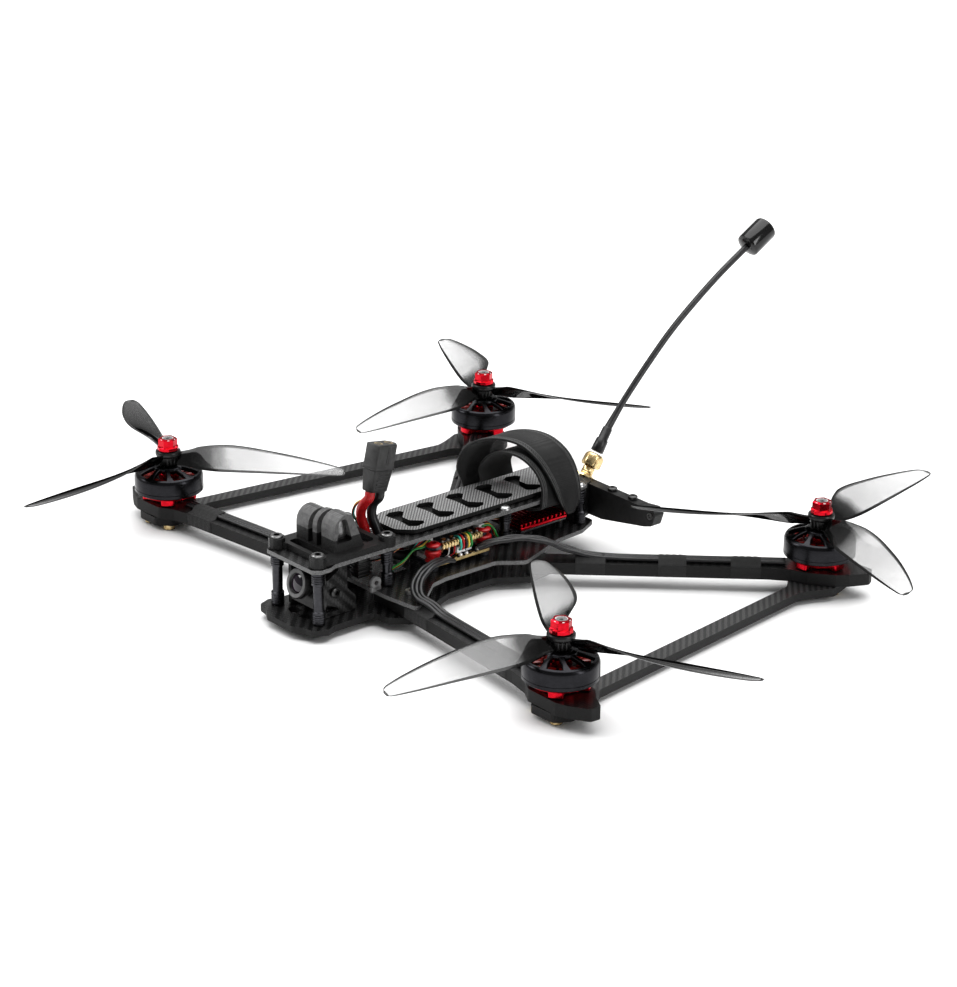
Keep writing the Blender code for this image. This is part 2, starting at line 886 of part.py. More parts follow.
def make_battery_connector():
    """A two-pole battery plug: tapered ribbed boot, flange and block."""
    frame = connector_frame()
    levels = (
        # height, half depth, half width
        (0.0, 3.3, 6.0),
        (10.5, 3.9, 7.3),
        (10.8, 4.3, 7.9),
        (12.4, 4.3, 7.9),
        (12.7, 4.0, 7.6),
        (22.4, 4.0, 7.6),
    )
    corner = 0.58  # of the half depth, cut off each corner of the keyed side
    rings = []
    for height, half_x, half_y in levels:
        cut = half_x * corner
        ring = [
            (half_x, -half_y),
            (half_x, half_y - cut),
            (half_x - cut, half_y),
            (cut - half_x, half_y),
            (-half_x, half_y - cut),
            (-half_x, -half_y),
        ]
        rings.append([frame @ Vector((x, y, height)) for x, y in ring])
    look = material("connector_nylon", GREY_PLASTIC, 0.5)
    add_object("battery_connector", skinned(rings), look)


WIRE_HALF_WIDTH = 2.9  # three wires side by side
WIRE_HALF_HEIGHT = 1.0


def bundle_section(place, tangent, half_width, half_height):
    """A flat rounded ribbon section across the route."""
    across = tangent.cross(Vector((0.0, 0.0, 1.0))).normalized()
    lift = across.cross(tangent).normalized()
    flat = half_width - half_height
    shoulder = half_height * math.sqrt(0.5)
    corners = (
        (half_width, 0.0),
        (flat + shoulder, shoulder),
        (flat, half_height),
        (-flat, half_height),
        (-flat - shoulder, shoulder),
        (-half_width, 0.0),
        (-flat - shoulder, -shoulder),
        (-flat, -half_height),
        (flat, -half_height),
        (flat + shoulder, -shoulder),
    )
    return [place + across * x + lift * y for x, y in corners]


def arm_point(motor, direction, inward, sideways, height):
    """A point over an arm, a distance inward from its motor."""
    turn = Matrix.Rotation(math.radians(direction), 2)
    place = turn @ Vector((-inward, sideways))
    return (motor[0] + place.x, motor[1] + place.y, height)


def motor_wire_route(end):
    on_arm = ARM_TOP + GAP + WIRE_HALF_HEIGHT + 0.05
    if end == "front":
        along = [
            arm_point(FRONT_MOTOR, FRONT_ARM_DIRECTION, inward, -0.3, on_arm)
            for inward in (86.0, 64.0, 38.0, 15.6)
        ]
        return [
            (21.4, -49.5, 20.4),
            (23.0, -57.5, 22.3),
            (26.2, -67.5, 22.6),
            (30.2, -76.0, 20.8),
            (34.6, -81.0, 18.6),
            (40.0, -83.4, 16.9),
            (47.2, -83.0, 15.9),
            *along,
        ]
    along = [
        arm_point(REAR_MOTOR, REAR_ARM_DIRECTION, inward, -2.2, on_arm)
        for inward in (92.0, 68.0, 40.0, 15.6)
    ]
    return [
        (18.5, -31.0, 20.8),
        (22.5, -25.0, 23.2),
        (27.5, -15.0, 24.0),
        (33.5, -5.0, 22.4),
        (40.0, 4.0, 18.0),
        (47.0, 12.4, 14.8),
        *along,
    ]


def make_motor_wires():
    look = material("motor_wires", (0.015, 0.015, 0.015), 0.4)
    for end in ("front", "rear"):
        route = smooth_route(motor_wire_route(end), 2)
        rings = []
        for index, place in enumerate(route):
            near = route[max(index - 1, 0)]
            far = route[min(index + 1, len(route) - 1)]
            tangent = (far - near).normalized()
            rings.append(bundle_section(place, tangent, WIRE_HALF_WIDTH, WIRE_HALF_HEIGHT))
        for side, sign in (("right", 1.0), ("left", -1.0)):
            bm = skinned(rings)
            moved(bm, Matrix.Diagonal((sign, 1.0, 1.0, 1.0)))
            add_object(f"motor_wires_{end}_{side}", bm, look, smooth=True)


# Battery strap ------------------------------------------------------------------------

STRAP_ROUTE = [
    # x, height, middle along the drone's length, width
    (-9.6, 38.4, 5.0, 20.0),
    (-11.0, 45.0, 5.0, 20.0),
    (-7.6, 51.0, 6.5, 20.0),
    (-1.0, 54.6, 9.0, 20.0),
    (7.6, 54.0, 13.0, 20.0),
    (14.4, 48.6, 16.5, 20.0),
    (17.9, 41.0, 18.5, 20.0),
    (18.9, 33.0, 18.0, 20.0),
    (17.6, 29.5, 17.0, 20.0),
    (10.0, 28.4, 14.0, 20.0),
    (-10.0, 28.4, 9.5, 20.0),
    (-17.6, 29.5, 6.0, 20.0),
    (-18.9, 33.0, 3.0, 20.0),
    (-19.0, 38.0, 0.6, 20.0),
    (-18.6, 45.0, -2.4, 20.0),
    (-16.2, 53.6, -1.0, 20.0),
    (-10.8, 58.8, 3.4, 20.0),
    (-3.0, 60.4, 10.0, 20.0),
    (5.6, 58.8, 15.2, 20.0),
    (13.2, 53.6, 18.6, 20.0),
    (18.2, 46.2, 20.9, 18.6),
    (20.9, 38.0, 22.6, 16.0),
    (21.3, 30.4, 24.0, 12.8),
    (20.9, 24.4, 24.6, 6.4),
]


def make_battery_strap():
    """A wide strap wound about one and a half turns, tapering to its tongue."""
    knots = [(x, y, z) for x, z, y, width in STRAP_ROUTE]
    widths = [(width, 0.0, 0.0) for x, z, y, width in STRAP_ROUTE]
    route = smooth_route(knots, 2)
    half_widths = [point.x / 2.0 for point in smooth_route(widths, 2)]
    half_thickness = STRAP_THICKNESS / 2.0
    rings = []
    for index, (place, half_width) in enumerate(zip(route, half_widths)):
        near = route[max(index - 1, 0)]
        far = route[min(index + 1, len(route) - 1)]
        run = Vector((far.x - near.x, 0.0, far.z - near.z)).normalized()
        outward = Vector((-run.z, 0.0, run.x)) * half_thickness
        width = Vector((0.0, half_width, 0.0))
        rings.append(
            [
                place + width + outward,
                place - width + outward,
                place - width - outward,
                place + width - outward,
            ]
        )
    look = material("strap_webbing", BLACK_PLASTIC, 0.7)
    add_object("battery_strap", skinned(rings), look, smooth=True)


# Aerial -----------------------------------------------------------------------------


def socket_frame():
    """The aerial socket's frame: at its threaded foot, +Z out of the tail."""
    return aimed((AERIAL_X, 50.6, 27.6), (0.0, 7.4, 10.6))


AERIAL_X = 1.0
AERIAL_ROUTE = [
    # distance from the tail and height of each bend
    (59.9, 41.2),
    (63.4, 46.4),
    (68.2, 53.2),
    (78.0, 64.4),
    (92.9, 79.2),
    (108.0, 92.8),
    (124.5, 105.0),
    (141.0, 115.8),
    (158.2, 125.6),
]


def make_aerial():
    gold = material("socket_gold", (0.75, 0.5, 0.18), 0.3, 1.0)
    socket = [
        (0.0, -5.0),
        (3.1, -5.0),
        (3.1, 8.6),
        (4.5, 9.0),
        (4.5, 14.4),
        (3.4, 15.4),
        (0.0, 15.4),
    ]
    bm = moved(turned(socket, 12), socket_frame())
    add_object("aerial_socket", bm, gold, smooth=True)
    black = material("aerial_black", BLACK_PLASTIC, 0.5)
    route = [Vector((AERIAL_X, y, z)) for y, z in AERIAL_ROUTE]
    relief = ((0.0, 3.2), (6.6, 3.0), (6.9, 2.5), (12.8, 2.4), (13.2, 2.0))
    rings = []
    first = (route[1] - route[0]).normalized()
    for distance, radius in relief:
        rings.append(ring_at(route[0] + first * distance, first, radius))
    for index in range(3, len(route)):
        tangent = (route[min(index + 1, len(route) - 1)] - route[index - 1]).normalized()
        rings.append(ring_at(route[index], tangent, 1.6))
    add_object("aerial_stalk", skinned(rings), black, smooth=True)
    end = route[-1]
    tangent = (route[-1] - route[-2]).normalized()
    cap = [
        (0.0, 0.3),
        (3.4, 0.3),
        (5.6, 0.8),
        (6.2, 1.6),
        (6.2, 14.6),
        (5.6, 16.0),
        (4.4, 16.4),
        (0.0, 16.5),
    ]
    bm = moved(turned(cap, 16), aimed(end, tangent))
    add_object("aerial_cap", bm, black, smooth=True)


def ring_at(place, tangent, radius, sides=8):
    frame = aimed(place, tangent)
    return [
        frame @ Vector((radius * math.cos(angle), radius * math.sin(angle), 0.0))
        for angle in [2.0 * math.pi * side / sides for side in range(sides)]
    ]


# Motors and propellers ----------------------------------------------------------------


def make_motor_base():
    look = material("motor_base_red", RED_METAL, 0.35, 0.9)
    mean = BASE_LOBE_RADIUS - 1.6
    lobes = []
    for step in range(MOTOR_SIDES):
        angle = 2.0 * math.pi * step / MOTOR_SIDES
        radius = mean - 1.6 * math.cos(4.0 * angle)
        lobes.append(Vector((radius * math.cos(angle), radius * math.sin(angle))))
    foot = slab(lobes, MID_PLATE_BOTTOM, 15.8, (circle(0.0, 0.0, 2.4, 12),))
    target = add_object("motor_base", foot, look)
    body = [
        (2.4, 14.0),
        (9.0, 14.0),
        (9.0, 15.3),
        (15.2, 15.3),
        (15.2, 16.8),
        (10.0, 16.8),
        (10.0, 17.6),
        (STATOR_RADIUS, 17.6),
        (STATOR_RADIUS, 24.4),
        (2.4, 24.4),
    ]
    bm = turned(body, MOTOR_SIDES, closed=True)
    combine(target, [add_object("motor_stator", bm, look)])
    return target


def make_bell():
    look = material("bell_black", BLACK_METAL, 0.3, 0.8)
    profile = [
        (0.0, 13.4),
        (2.0, 13.4),
        (2.0, 26.6),
        (15.2, 24.9),
        (15.2, BELL_BOTTOM),
        (BELL_RADIUS, BELL_BOTTOM),
        (BELL_RADIUS, 25.3),
        (15.8, 26.6),
        (6.5, 29.9),
        (SHAFT_RADIUS, 30.2),
        (SHAFT_RADIUS, 43.3),
        (0.0, 43.3),
    ]
    return add_object("bell", turned(profile, MOTOR_SIDES), look, smooth=True)


BLADE_STATIONS = (
    # distance out, leading edge, trailing edge, thickness
    (5.0, 2.2, -2.2, 3.4),
    (12.0, 3.7, -2.7, 3.0),
    (20.0, 6.8, -4.5, 2.2),
    (28.0, 9.4, -5.7, 1.9),
    (38.0, 10.6, -6.3, 1.7),
    (50.0, 10.2, -6.5, 1.5),
    (62.0, 8.8, -6.4, 1.3),
    (74.0, 6.2, -6.1, 1.2),
    (82.0, 3.8, -5.6, 1.1),
    (86.5, 1.8, -5.1, 1.0),
    (88.7, -1.2, -4.2, 0.9),
)


def blade(angle, spin):
    """One blade. spin is 1 where the propeller turns anticlockwise from above."""
    rings = []
    turn = Matrix.Rotation(math.radians(angle), 4, "Z")
    for distance, leading, trailing, thickness in BLADE_STATIONS:
        slope = PROP_PITCH / (2.0 * math.pi * max(distance, 14.0))
        middle = (leading + trailing) / 2.0
        crest = middle + (leading - trailing) * 0.15
        half = thickness / 2.0
        ring = [
            (leading, leading * slope),
            (crest, crest * slope + half),
            (trailing, trailing * slope),
            (crest, crest * slope - half),
        ]
        rings.append(
            [turn @ Vector((distance, spin * y, BLADE_LEVEL + z)) for y, z in ring]
        )
    return skinned(rings)


def make_propeller(name, spin):
    look = material("propeller_smoke", (0.12, 0.12, 0.12), 0.1)
    hub = [
        (NUT_BORE, HUB_BOTTOM),
        (HUB_RADIUS, HUB_BOTTOM),
        (HUB_RADIUS, HUB_TOP),
        (NUT_BORE, HUB_TOP),
    ]
    target = add_object(name, turned(hub, 18, closed=True), look, smooth=True)
    blades = [
        add_object("blade", blade(120.0 * index, spin), look, smooth=True)
        for index in range(3)
    ]
    return combine(target, blades)


def make_nut():
    """A flanged nut, hexagonal above its flange."""
    look = material("nut_red", RED_METAL, 0.3, 0.9)
    hexagon = 8.0 / math.sqrt(3.0)
    levels = (
        (5.2, 37.9, False),
        (5.2, 39.3, False),
        (hexagon, 39.9, True),
        (hexagon, 43.0, True),
        (hexagon - 0.6, 43.6, True),
    )
    sides = 12
    bm = bmesh.new()
    loops = []
    for radius, height, hexed in levels:
        loops.append(nut_ring(bm, radius, height, hexed, sides))
    loops.append(nut_ring(bm, NUT_BORE, levels[-1][1], False, sides))
    loops.append(nut_ring(bm, NUT_BORE, levels[0][1], False, sides))
    for near, far in zip(loops, loops[1:] + loops[:1]):
        for index in range(sides):
            following = (index + 1) % sides
            bm.faces.new((near[index], near[following], far[following], far[index]))
    return add_object("nut", bm, look)


def nut_ring(bm, radius, height, hexed, sides):
    ring = []
    for side in range(sides):
        angle = 2.0 * math.pi * side / sides
        flat = math.cos(math.pi / 6.0) if hexed and side % 2 else 1.0
        place = (radius * flat * math.cos(angle), radius * flat * math.sin(angle))
        ring.append(bm.verts.new((*place, height)))
    return ring


def make_motors():
    base = make_motor_base()
    bell = make_bell()
    nut = make_nut()
    props = {
        1: make_propeller("propeller_anticlockwise", 1),
        -1: make_propeller("propeller_clockwise", -1),
    }
    front = FRONT_ARM_DIRECTION
    rear = REAR_ARM_DIRECTION
    places = (
        ("front_right", 1, FRONT_MOTOR, front, -1, FRONT_RIGHT_BLADE_ANGLE),
        ("front_left", -1, FRONT_MOTOR, -front, 1, FRONT_LEFT_BLADE_ANGLE),
        ("rear_right", 1, REAR_MOTOR, rear, 1, REAR_RIGHT_BLADE_ANGLE),
        ("rear_left", -1, REAR_MOTOR, -rear, -1, REAR_LEFT_BLADE_ANGLE),
    )
    for corner, side, motor, arm_angle, spin, angle in places:
        axis = (side * motor[0], motor[1], 0.0)
        foot = shared_copy(base, f"motor_base_{corner}", axis)
        foot.rotation_euler = (0.0, 0.0, math.radians(arm_angle))
        shared_copy(bell, f"bell_{corner}", axis)
        shared_copy(nut, f"prop_nut_{corner}", axis)
        prop = shared_copy(props[spin], f"propeller_{corner}", axis)
        prop.rotation_euler = (0.0, 0.0, math.radians(angle))
    for pattern in (base, bell, nut, *props.values()):
        bpy.data.objects.remove(pattern, do_unlink=True)


def main():
    clear_scene()
    make_bottom_plate()
    make_mid_plate()
    make_top_plate()
    make_battery_plate()
    make_battery_pad()
    make_arms()
    make_side_bars()
    make_standoffs()
    make_camera_plates()
    make_camera()
    make_nose_mount()
    make_tail_mount()
    make_esc_board()
    make_flight_board()
    make_video_transmitter()
    make_battery_leads()
    make_battery_connector()
    make_motor_wires()
    make_battery_strap()
    make_aerial()
    make_motors()


main()
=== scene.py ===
import math

import bmesh
import bpy
from mathutils import Matrix, Vector


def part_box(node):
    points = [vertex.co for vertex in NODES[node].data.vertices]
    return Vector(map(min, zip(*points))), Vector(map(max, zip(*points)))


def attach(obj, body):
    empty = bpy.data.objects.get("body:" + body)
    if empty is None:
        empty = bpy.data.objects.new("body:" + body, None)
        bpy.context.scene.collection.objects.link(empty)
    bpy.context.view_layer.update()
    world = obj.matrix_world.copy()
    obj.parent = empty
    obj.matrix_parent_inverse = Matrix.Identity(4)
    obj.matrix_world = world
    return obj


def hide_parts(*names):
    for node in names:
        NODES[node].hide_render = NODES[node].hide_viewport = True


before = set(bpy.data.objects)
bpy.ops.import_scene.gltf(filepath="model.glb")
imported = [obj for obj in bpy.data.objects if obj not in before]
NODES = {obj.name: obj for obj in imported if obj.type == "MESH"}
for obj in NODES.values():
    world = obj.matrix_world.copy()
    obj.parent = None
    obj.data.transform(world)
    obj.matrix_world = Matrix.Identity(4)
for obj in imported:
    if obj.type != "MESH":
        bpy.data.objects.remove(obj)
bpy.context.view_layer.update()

# Lengths below are in millimetres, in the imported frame's axes.
MM = 0.001
CORNERS = ("front_right", "front_left", "rear_right", "rear_left")


def node_span(node, axis):
    """The lowest and highest coordinate of a CAD node along an axis, in mm."""
    low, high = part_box(node)
    return low[axis] / MM, high[axis] / MM


def node_middle(node, axis):
    low, high = node_span(node, axis)
    return (low + high) / 2.0


BOTTOM_PLATE_BOTTOM = node_span("bottom_plate", 2)[0]
ARM_BOTTOM, ARM_TOP = node_span("arm_front_right", 2)
MID_PLATE_TOP = node_span("mid_plate", 2)[1]
TOP_PLATE_TOP = node_span("top_plate", 2)[1]
BELL_BOTTOM = 17.2
BELL_RADIUS = (node_span("bell_front_right", 0)[1] - node_span("bell_front_right", 0)[0]) / 2.0
MOTORS = {
    corner: Vector((node_middle(f"bell_{corner}", 0), node_middle(f"bell_{corner}", 1), 0.0))
    for corner in CORNERS
}
ARM_ANGLES = {"front_right": -6.0, "front_left": 186.0, "rear_right": 46.5, "rear_left": 133.5}

# Node-tree shorthand ---------------------------------------------------------------


class Look:
    """A Principled material and short-hand for the nodes that feed it."""

    def __init__(self, name, colour, roughness, metallic=0.0, **sockets):
        self.material = bpy.data.materials.new(name)
        self.material.use_nodes = True
        self.tree = self.material.node_tree
        self.shader = self.tree.nodes["Principled BSDF"]
        self.shader.inputs["Base Color"].default_value = (*colour, 1.0)
        self.shader.inputs["Roughness"].default_value = roughness
        self.shader.inputs["Metallic"].default_value = metallic
        for key, value in sockets.items():
            self.shader.inputs[key.replace("_", " ")].default_value = value
        self.material.diffuse_color = (*colour, 1.0)
        self.coordinates = self.add("ShaderNodeTexCoord").outputs["Object"]
        self.height = None

    def add(self, kind, inputs=None, **settings):
        node = self.tree.nodes.new(kind)
        for key, value in settings.items():
            setattr(node, key, value)
        for key, value in (inputs or {}).items():
            self.feed(node.inputs[key], value)
        return node

    def feed(self, socket, value):
        if isinstance(value, bpy.types.NodeSocket):
            self.tree.links.new(value, socket)
        else:
            socket.default_value = value

    def math(self, operation, *values):
        node = self.add("ShaderNodeMath", operation=operation)
        for socket, value in zip(node.inputs, values):
            self.feed(socket, value)
        return node.outputs[0]

    def axes(self, vector=None):
        node = self.add("ShaderNodeSeparateXYZ", {0: vector or self.coordinates})
        return node.outputs[0], node.outputs[1], node.outputs[2]

    def scaled(self, scale):
        """Object coordinates in mm, stretched by a factor or a triple."""
        factor = (scale,) * 3 if isinstance(scale, (int, float)) else scale
        factor = tuple(part / MM for part in factor)
        node = self.add("ShaderNodeVectorMath", operation="MULTIPLY")
        self.feed(node.inputs[0], self.coordinates)
        self.feed(node.inputs[1], factor)
        return node.outputs[0]

    def noise(self, scale, detail=3.0, roughness=0.5):
        """Noise of about one feature per 1/scale mm."""
        inputs = {"Vector": self.scaled(scale), "Scale": 1.0}
        inputs.update({"Detail": detail, "Roughness": roughness})
        return self.add("ShaderNodeTexNoise", inputs).outputs[0]

    def ramp(self, value, *stops):
        node = self.add("ShaderNodeValToRGB")
        self.feed(node.inputs[0], value)
        elements = node.color_ramp.elements
        while len(elements) < len(stops):
            elements.new(0.5)
        for element, (place, shade) in zip(elements, stops):
            element.position = place
            colour = (shade,) * 3 if isinstance(shade, (int, float)) else shade
            element.color = (*colour, 1.0)
        return node.outputs[0]

    def mix(self, factor, first, second):
        node = self.add("ShaderNodeMix", data_type="RGBA")
        self.feed(node.inputs[0], factor)
        for socket, value in ((node.inputs[6], first), (node.inputs[7], second)):
            if isinstance(value, tuple) and len(value) == 3:
                value = (*value, 1.0)
            self.feed(socket, value)
        return node.outputs[2]

    def colour(self, value):
        self.feed(self.shader.inputs["Base Color"], value)

    def roughness(self, value):
        self.feed(self.shader.inputs["Roughness"], value)

    def rough_between(self, value, low, high):
        """Roughness from low to high as a 0 to 1 value rises."""
        spread = self.math("MULTIPLY", value, high - low)
        self.roughness(self.math("ADD", spread, low))

    def bump(self, value, depth):
        """Adds relief: depth is in mm."""
        node = self.add("ShaderNodeBump", {"Height": value, "Distance": depth * MM})
        node.inputs["Strength"].default_value = 1.0
        if self.height is not None:
            self.feed(node.inputs["Normal"], self.height)
        self.height = node.outputs[0]
        self.feed(self.shader.inputs["Normal"], self.height)


# Materials -----------------------------------------------------------------------------


def carbon(name, tow, dark, light, gloss, sides, facing=2):
    """Twill carbon plate that faces an axis: woven faces with painted shade between the tows, and sides
    of cut layers.
    """
    look = Look(name, (dark,) * 3, gloss, Specular_IOR_Level=0.35, Coat_Roughness=0.15)
    lanes = look.axes(look.scaled(1.0 / tow))
    x, y = lanes[facing - 2], lanes[facing - 1]
    place = look.math("ADD", look.math("FLOOR", x), look.math("FLOOR", y))
    step = look.math("FLOORED_MODULO", place, 4.0)
    warp = look.math("LESS_THAN", step, 2.0)
    crown_x = look.math("ABSOLUTE", look.math("SINE", look.math("MULTIPLY", x, math.pi)))
    crown_y = look.math("ABSOLUTE", look.math("SINE", look.math("MULTIPLY", y, math.pi)))
    crown = look.add("ShaderNodeMix", data_type="FLOAT")
    for number, value in ((0, warp), (2, crown_y), (3, crown_x)):
        look.feed(crown.inputs[number], value)
    strands = look.mix(warp, look.noise((0.6, 9.0, 1.0), 2.0), look.noise((9.0, 0.6, 1.0), 2.0))
    weave = look.mix(warp, (dark,) * 3, (light,) * 3)
    weave = look.mix(look.math("MULTIPLY", strands, 0.2), weave, (light * 1.2,) * 3)
    # Painted shade: the weave is darkened where the tows dip at their edges.
    valley_shade = look.ramp(crown.outputs[0], (0.0, 1.0), (0.45, 0.0))
    weave = look.mix(look.math("MULTIPLY", valley_shade, 0.7), weave, (dark * 0.6,) * 3)
    height = look.axes()[facing]
    layers = look.math("SINE", look.math("MULTIPLY", height, 2.0 * math.pi / (0.5 * MM)))
    layered = look.math("ADD", look.math("MULTIPLY", layers, 0.2), look.noise(2.5))
    side = look.ramp(layered, (0.35, sides * 0.4), (0.62, sides), (0.85, sides * 1.7))
    normal = look.axes(look.add("ShaderNodeTexCoord").outputs["Normal"])[facing]
    flat = look.math("GREATER_THAN", look.math("ABSOLUTE", normal), 0.5)
    look.colour(look.mix(flat, side, weave))
    rough = look.mix(warp, (gloss,) * 3, (gloss * 0.75,) * 3)
    look.roughness(look.mix(flat, (0.6,) * 3, rough))
    look.feed(look.shader.inputs["Coat Weight"], look.math("MULTIPLY", flat, 0.35))
    look.bump(look.math("MULTIPLY", crown.outputs[0], flat), 0.05)
    look.bump(look.math("MULTIPLY", layers, look.math("SUBTRACT", 1.0, flat)), 0.03)
    return look.material


def moulded(name, shade, roughness, grain=6.0, depth=0.02):
    """Injection-moulded plastic: fine grain, faint mottling and handled shine."""
    colour = (shade,) * 3 if isinstance(shade, (int, float)) else shade
    look = Look(name, colour, roughness, Specular_IOR_Level=0.5)
    mottle = look.noise(0.35, 4.0)
    dark = tuple(part * 0.72 for part in colour)
    light = tuple(part * 1.35 for part in colour)
    look.colour(look.ramp(mottle, (0.3, dark), (0.7, light)))
    look.rough_between(look.noise(0.9), roughness - 0.1, roughness + 0.12)
    look.bump(look.noise(grain), depth)
    return look.material


def printed(name, shade, roughness, upper=None):
    """Filament-printed plastic: layer lines and slight ripple, paler above z = 43."""
    look = Look(name, (shade,) * 3, roughness, Specular_IOR_Level=0.4)
    z = look.axes()[2]
    wobble = look.math("MULTIPLY", look.noise(0.4), 0.06 * MM)
    height = look.math("MULTIPLY", look.math("ADD", z, wobble), 2.0 * math.pi / (0.3 * MM))
    lines = look.math("MULTIPLY_ADD", look.math("SINE", height), 0.5, 0.5)
    tone = look.math("ADD", look.math("MULTIPLY", lines, 0.25), look.noise(0.5))
    colour = look.ramp(tone, (0.3, shade * 0.6), (0.8, shade * 1.6))
    if upper:
        paler = look.ramp(tone, (0.3, upper * 0.7), (0.8, upper * 1.4))
        colour = look.mix(look.math("GREATER_THAN", z, 43.0 * MM), colour, paler)
    look.colour(colour)
    look.rough_between(lines, roughness - 0.08, roughness + 0.14)
    look.bump(lines, 0.05)
    look.bump(look.noise(1.2), 0.04)
    return look.material


def anodised(name, colour, roughness=0.28, worn=0.35):
    """Anodised aluminium: deep tint, fine machining lines, slightly worn spots."""
    look = Look(name, colour, roughness, 1.0)
    lines = look.noise((0.4, 0.4, 14.0))
    wear = look.noise(0.5, 5.0)
    pale = tuple(part * (1.0 + worn) + 0.01 * worn for part in colour)
    deep = tuple(part * (1.0 - worn) for part in colour)
    look.colour(look.ramp(wear, (0.32, deep), (0.55, colour), (0.78, pale)))
    look.rough_between(lines, roughness - 0.06, roughness + 0.1)
    look.bump(lines, 0.006)
    return look.material


def silicone(name, colour):
    """Soft silicone insulation: satin skin with dust and faint drag marks."""
    look = Look(name, colour, 0.34, Coat_Weight=0.15, Coat_Roughness=0.3)
    look.colour(
        look.ramp(
            look.noise(0.45, 4.0),
            (0.3, tuple(part * 0.7 for part in colour)),
            (0.7, tuple(min(1.0, part * 1.2 + 0.008) for part in colour)),
        )
    )
    look.rough_between(look.noise(1.4), 0.24, 0.48)
    look.bump(look.noise(1.8), 0.03)
    return look.material


def cloth_tape(name):
    """Cloth harness tape: a fine plain weave and lint."""
    look = Look(name, (0.015,) * 3, 0.7, Sheen_Weight=0.08, Sheen_Roughness=0.5)
    x, y, z = look.axes(look.scaled(2.0 * math.pi / 0.55))
    weave = look.math("MULTIPLY", look.math("SINE", look.math("ADD", x, y)), look.math("SINE", z))
    lint = look.noise(2.2, 5.0)
    tone = look.math("ADD", look.math("MULTIPLY", weave, 0.12), lint)
    look.colour(look.ramp(tone, (0.3, 0.009), (0.6, 0.017), (0.82, 0.035)))
    look.rough_between(lint, 0.62, 0.86)
    look.bump(weave, 0.06)
    look.bump(look.noise(0.7), 0.1)
    return look.material


def strap_rubber(name):
    """Rubber-coated webbing: fine ribs across, scuffed where it is handled."""
    look = Look(name, (0.012,) * 3, 0.45, Specular_IOR_Level=0.4)
    x, _, z = look.axes(look.scaled(2.0 * math.pi / 0.6))
    ribs = look.math("SINE", look.math("ADD", x, z))
    scuff = look.noise(0.6, 5.0)
    tone = look.math("ADD", look.math("MULTIPLY", ribs, 0.05), scuff)
    look.colour(look.ramp(tone, (0.3, 0.008), (0.6, 0.013), (0.8, 0.022)))
    look.rough_between(scuff, 0.42, 0.7)
    look.bump(ribs, 0.03)
    look.bump(look.noise(3.0), 0.05)
    return look.material


def hook_pile(name):
    """The strap's inside: dense loop pile."""
    look = Look(name, (0.012,) * 3, 0.95, Sheen_Weight=0.15, Sheen_Roughness=0.6)
    pile = look.noise(3.4, 6.0, 0.7)
    look.colour(look.ramp(pile, (0.35, 0.003), (0.6, 0.014), (0.8, 0.04)))
    look.bump(pile, 0.5)
    return look.material


def smoky_blade(name):
    """Tinted clear polycarbonate: black at the hub and seen edge-on, smoky grey outward, that grey
    partly thinner smoke and partly painted reflection.
    """
    look = Look(name, (0.01,) * 3, 0.05, Specular_IOR_Level=0.5, IOR=1.5)
    x, y = look.axes(look.scaled(1.0))[:2]
    square = look.math("ADD", look.math("MULTIPLY", x, x), look.math("MULTIPLY", y, y))
    radius = look.math("SQRT", square)
    swirl = look.math("MULTIPLY_ADD", look.noise(0.05, 2.0), 26.0, -13.0)
    outward = look.math("DIVIDE", look.math("ADD", radius, swirl), 89.0)
    tint = look.ramp(outward, (0.1, 0.98), (0.24, 0.85), (0.36, 0.48), (0.95, 0.33))
    facing = look.add("ShaderNodeLayerWeight", {"Blend": 0.5}).outputs["Facing"]
    rim = look.ramp(facing, (0.62, 0.0), (0.71, 0.85), (0.82, 1.0))
    look.feed(look.shader.inputs["Alpha"], look.math("MAXIMUM", tint, rim))
    # The grey that rises outward is partly the thinner smoke and partly painted reflection of the bright
    # studio.
    grey = look.ramp(outward, (0.12, 0.002), (0.24, 0.02), (0.36, 0.3), (0.95, 0.5))
    look.colour(look.mix(rim, grey, (0.004,) * 3))
    gloss = look.math("MULTIPLY_ADD", rim, -0.5, 0.5)
    look.feed(look.shader.inputs["Specular IOR Level"], gloss)
    look.rough_between(look.noise(0.3, 5.0), 0.03, 0.1)
    look.bump(look.noise(0.12), 0.05)
    return look.material


def gold_plate(name):
    look = Look(name, (0.8, 0.62, 0.33), 0.25, 1.0)
    tarnish = look.noise(0.8, 5.0)
    tones = ((0.3, (0.42, 0.3, 0.14)), (0.5, (0.78, 0.6, 0.32)), (0.8, (0.95, 0.8, 0.5)))
    look.colour(look.ramp(tarnish, *tones))
    look.rough_between(look.noise((1.0, 1.0, 9.0)), 0.16, 0.4)
    look.bump(look.noise((1.0, 1.0, 9.0)), 0.01)
    return look.material


def solder_mask(name, colour):
    """A circuit board's face: glossy mask with traces and via specks."""
    look = Look(name, colour, 0.35, Coat_Weight=0.6, Coat_Roughness=0.15)
    cells = look.add("ShaderNodeTexVoronoi", {"Vector": look.scaled(0.9), "Scale": 1.0})
    vias = look.math("LESS_THAN", cells.outputs["Distance"], 0.12)
    bricks = look.add("ShaderNodeTexBrick", {"Vector": look.scaled(0.45), "Scale": 1.0})
    bricks.inputs["Mortar Size"].default_value = 0.05
    traces = look.math("SUBTRACT", 1.0, bricks.outputs["Fac"])
    lighter = tuple(part * 2.2 + 0.01 for part in colour)
    board = look.mix(look.math("MULTIPLY", traces, 0.3), lighter, colour)
    look.colour(look.mix(vias, board, (0.6, 0.45, 0.2)))
    look.bump(bricks.outputs["Fac"], 0.03)
    return look.material


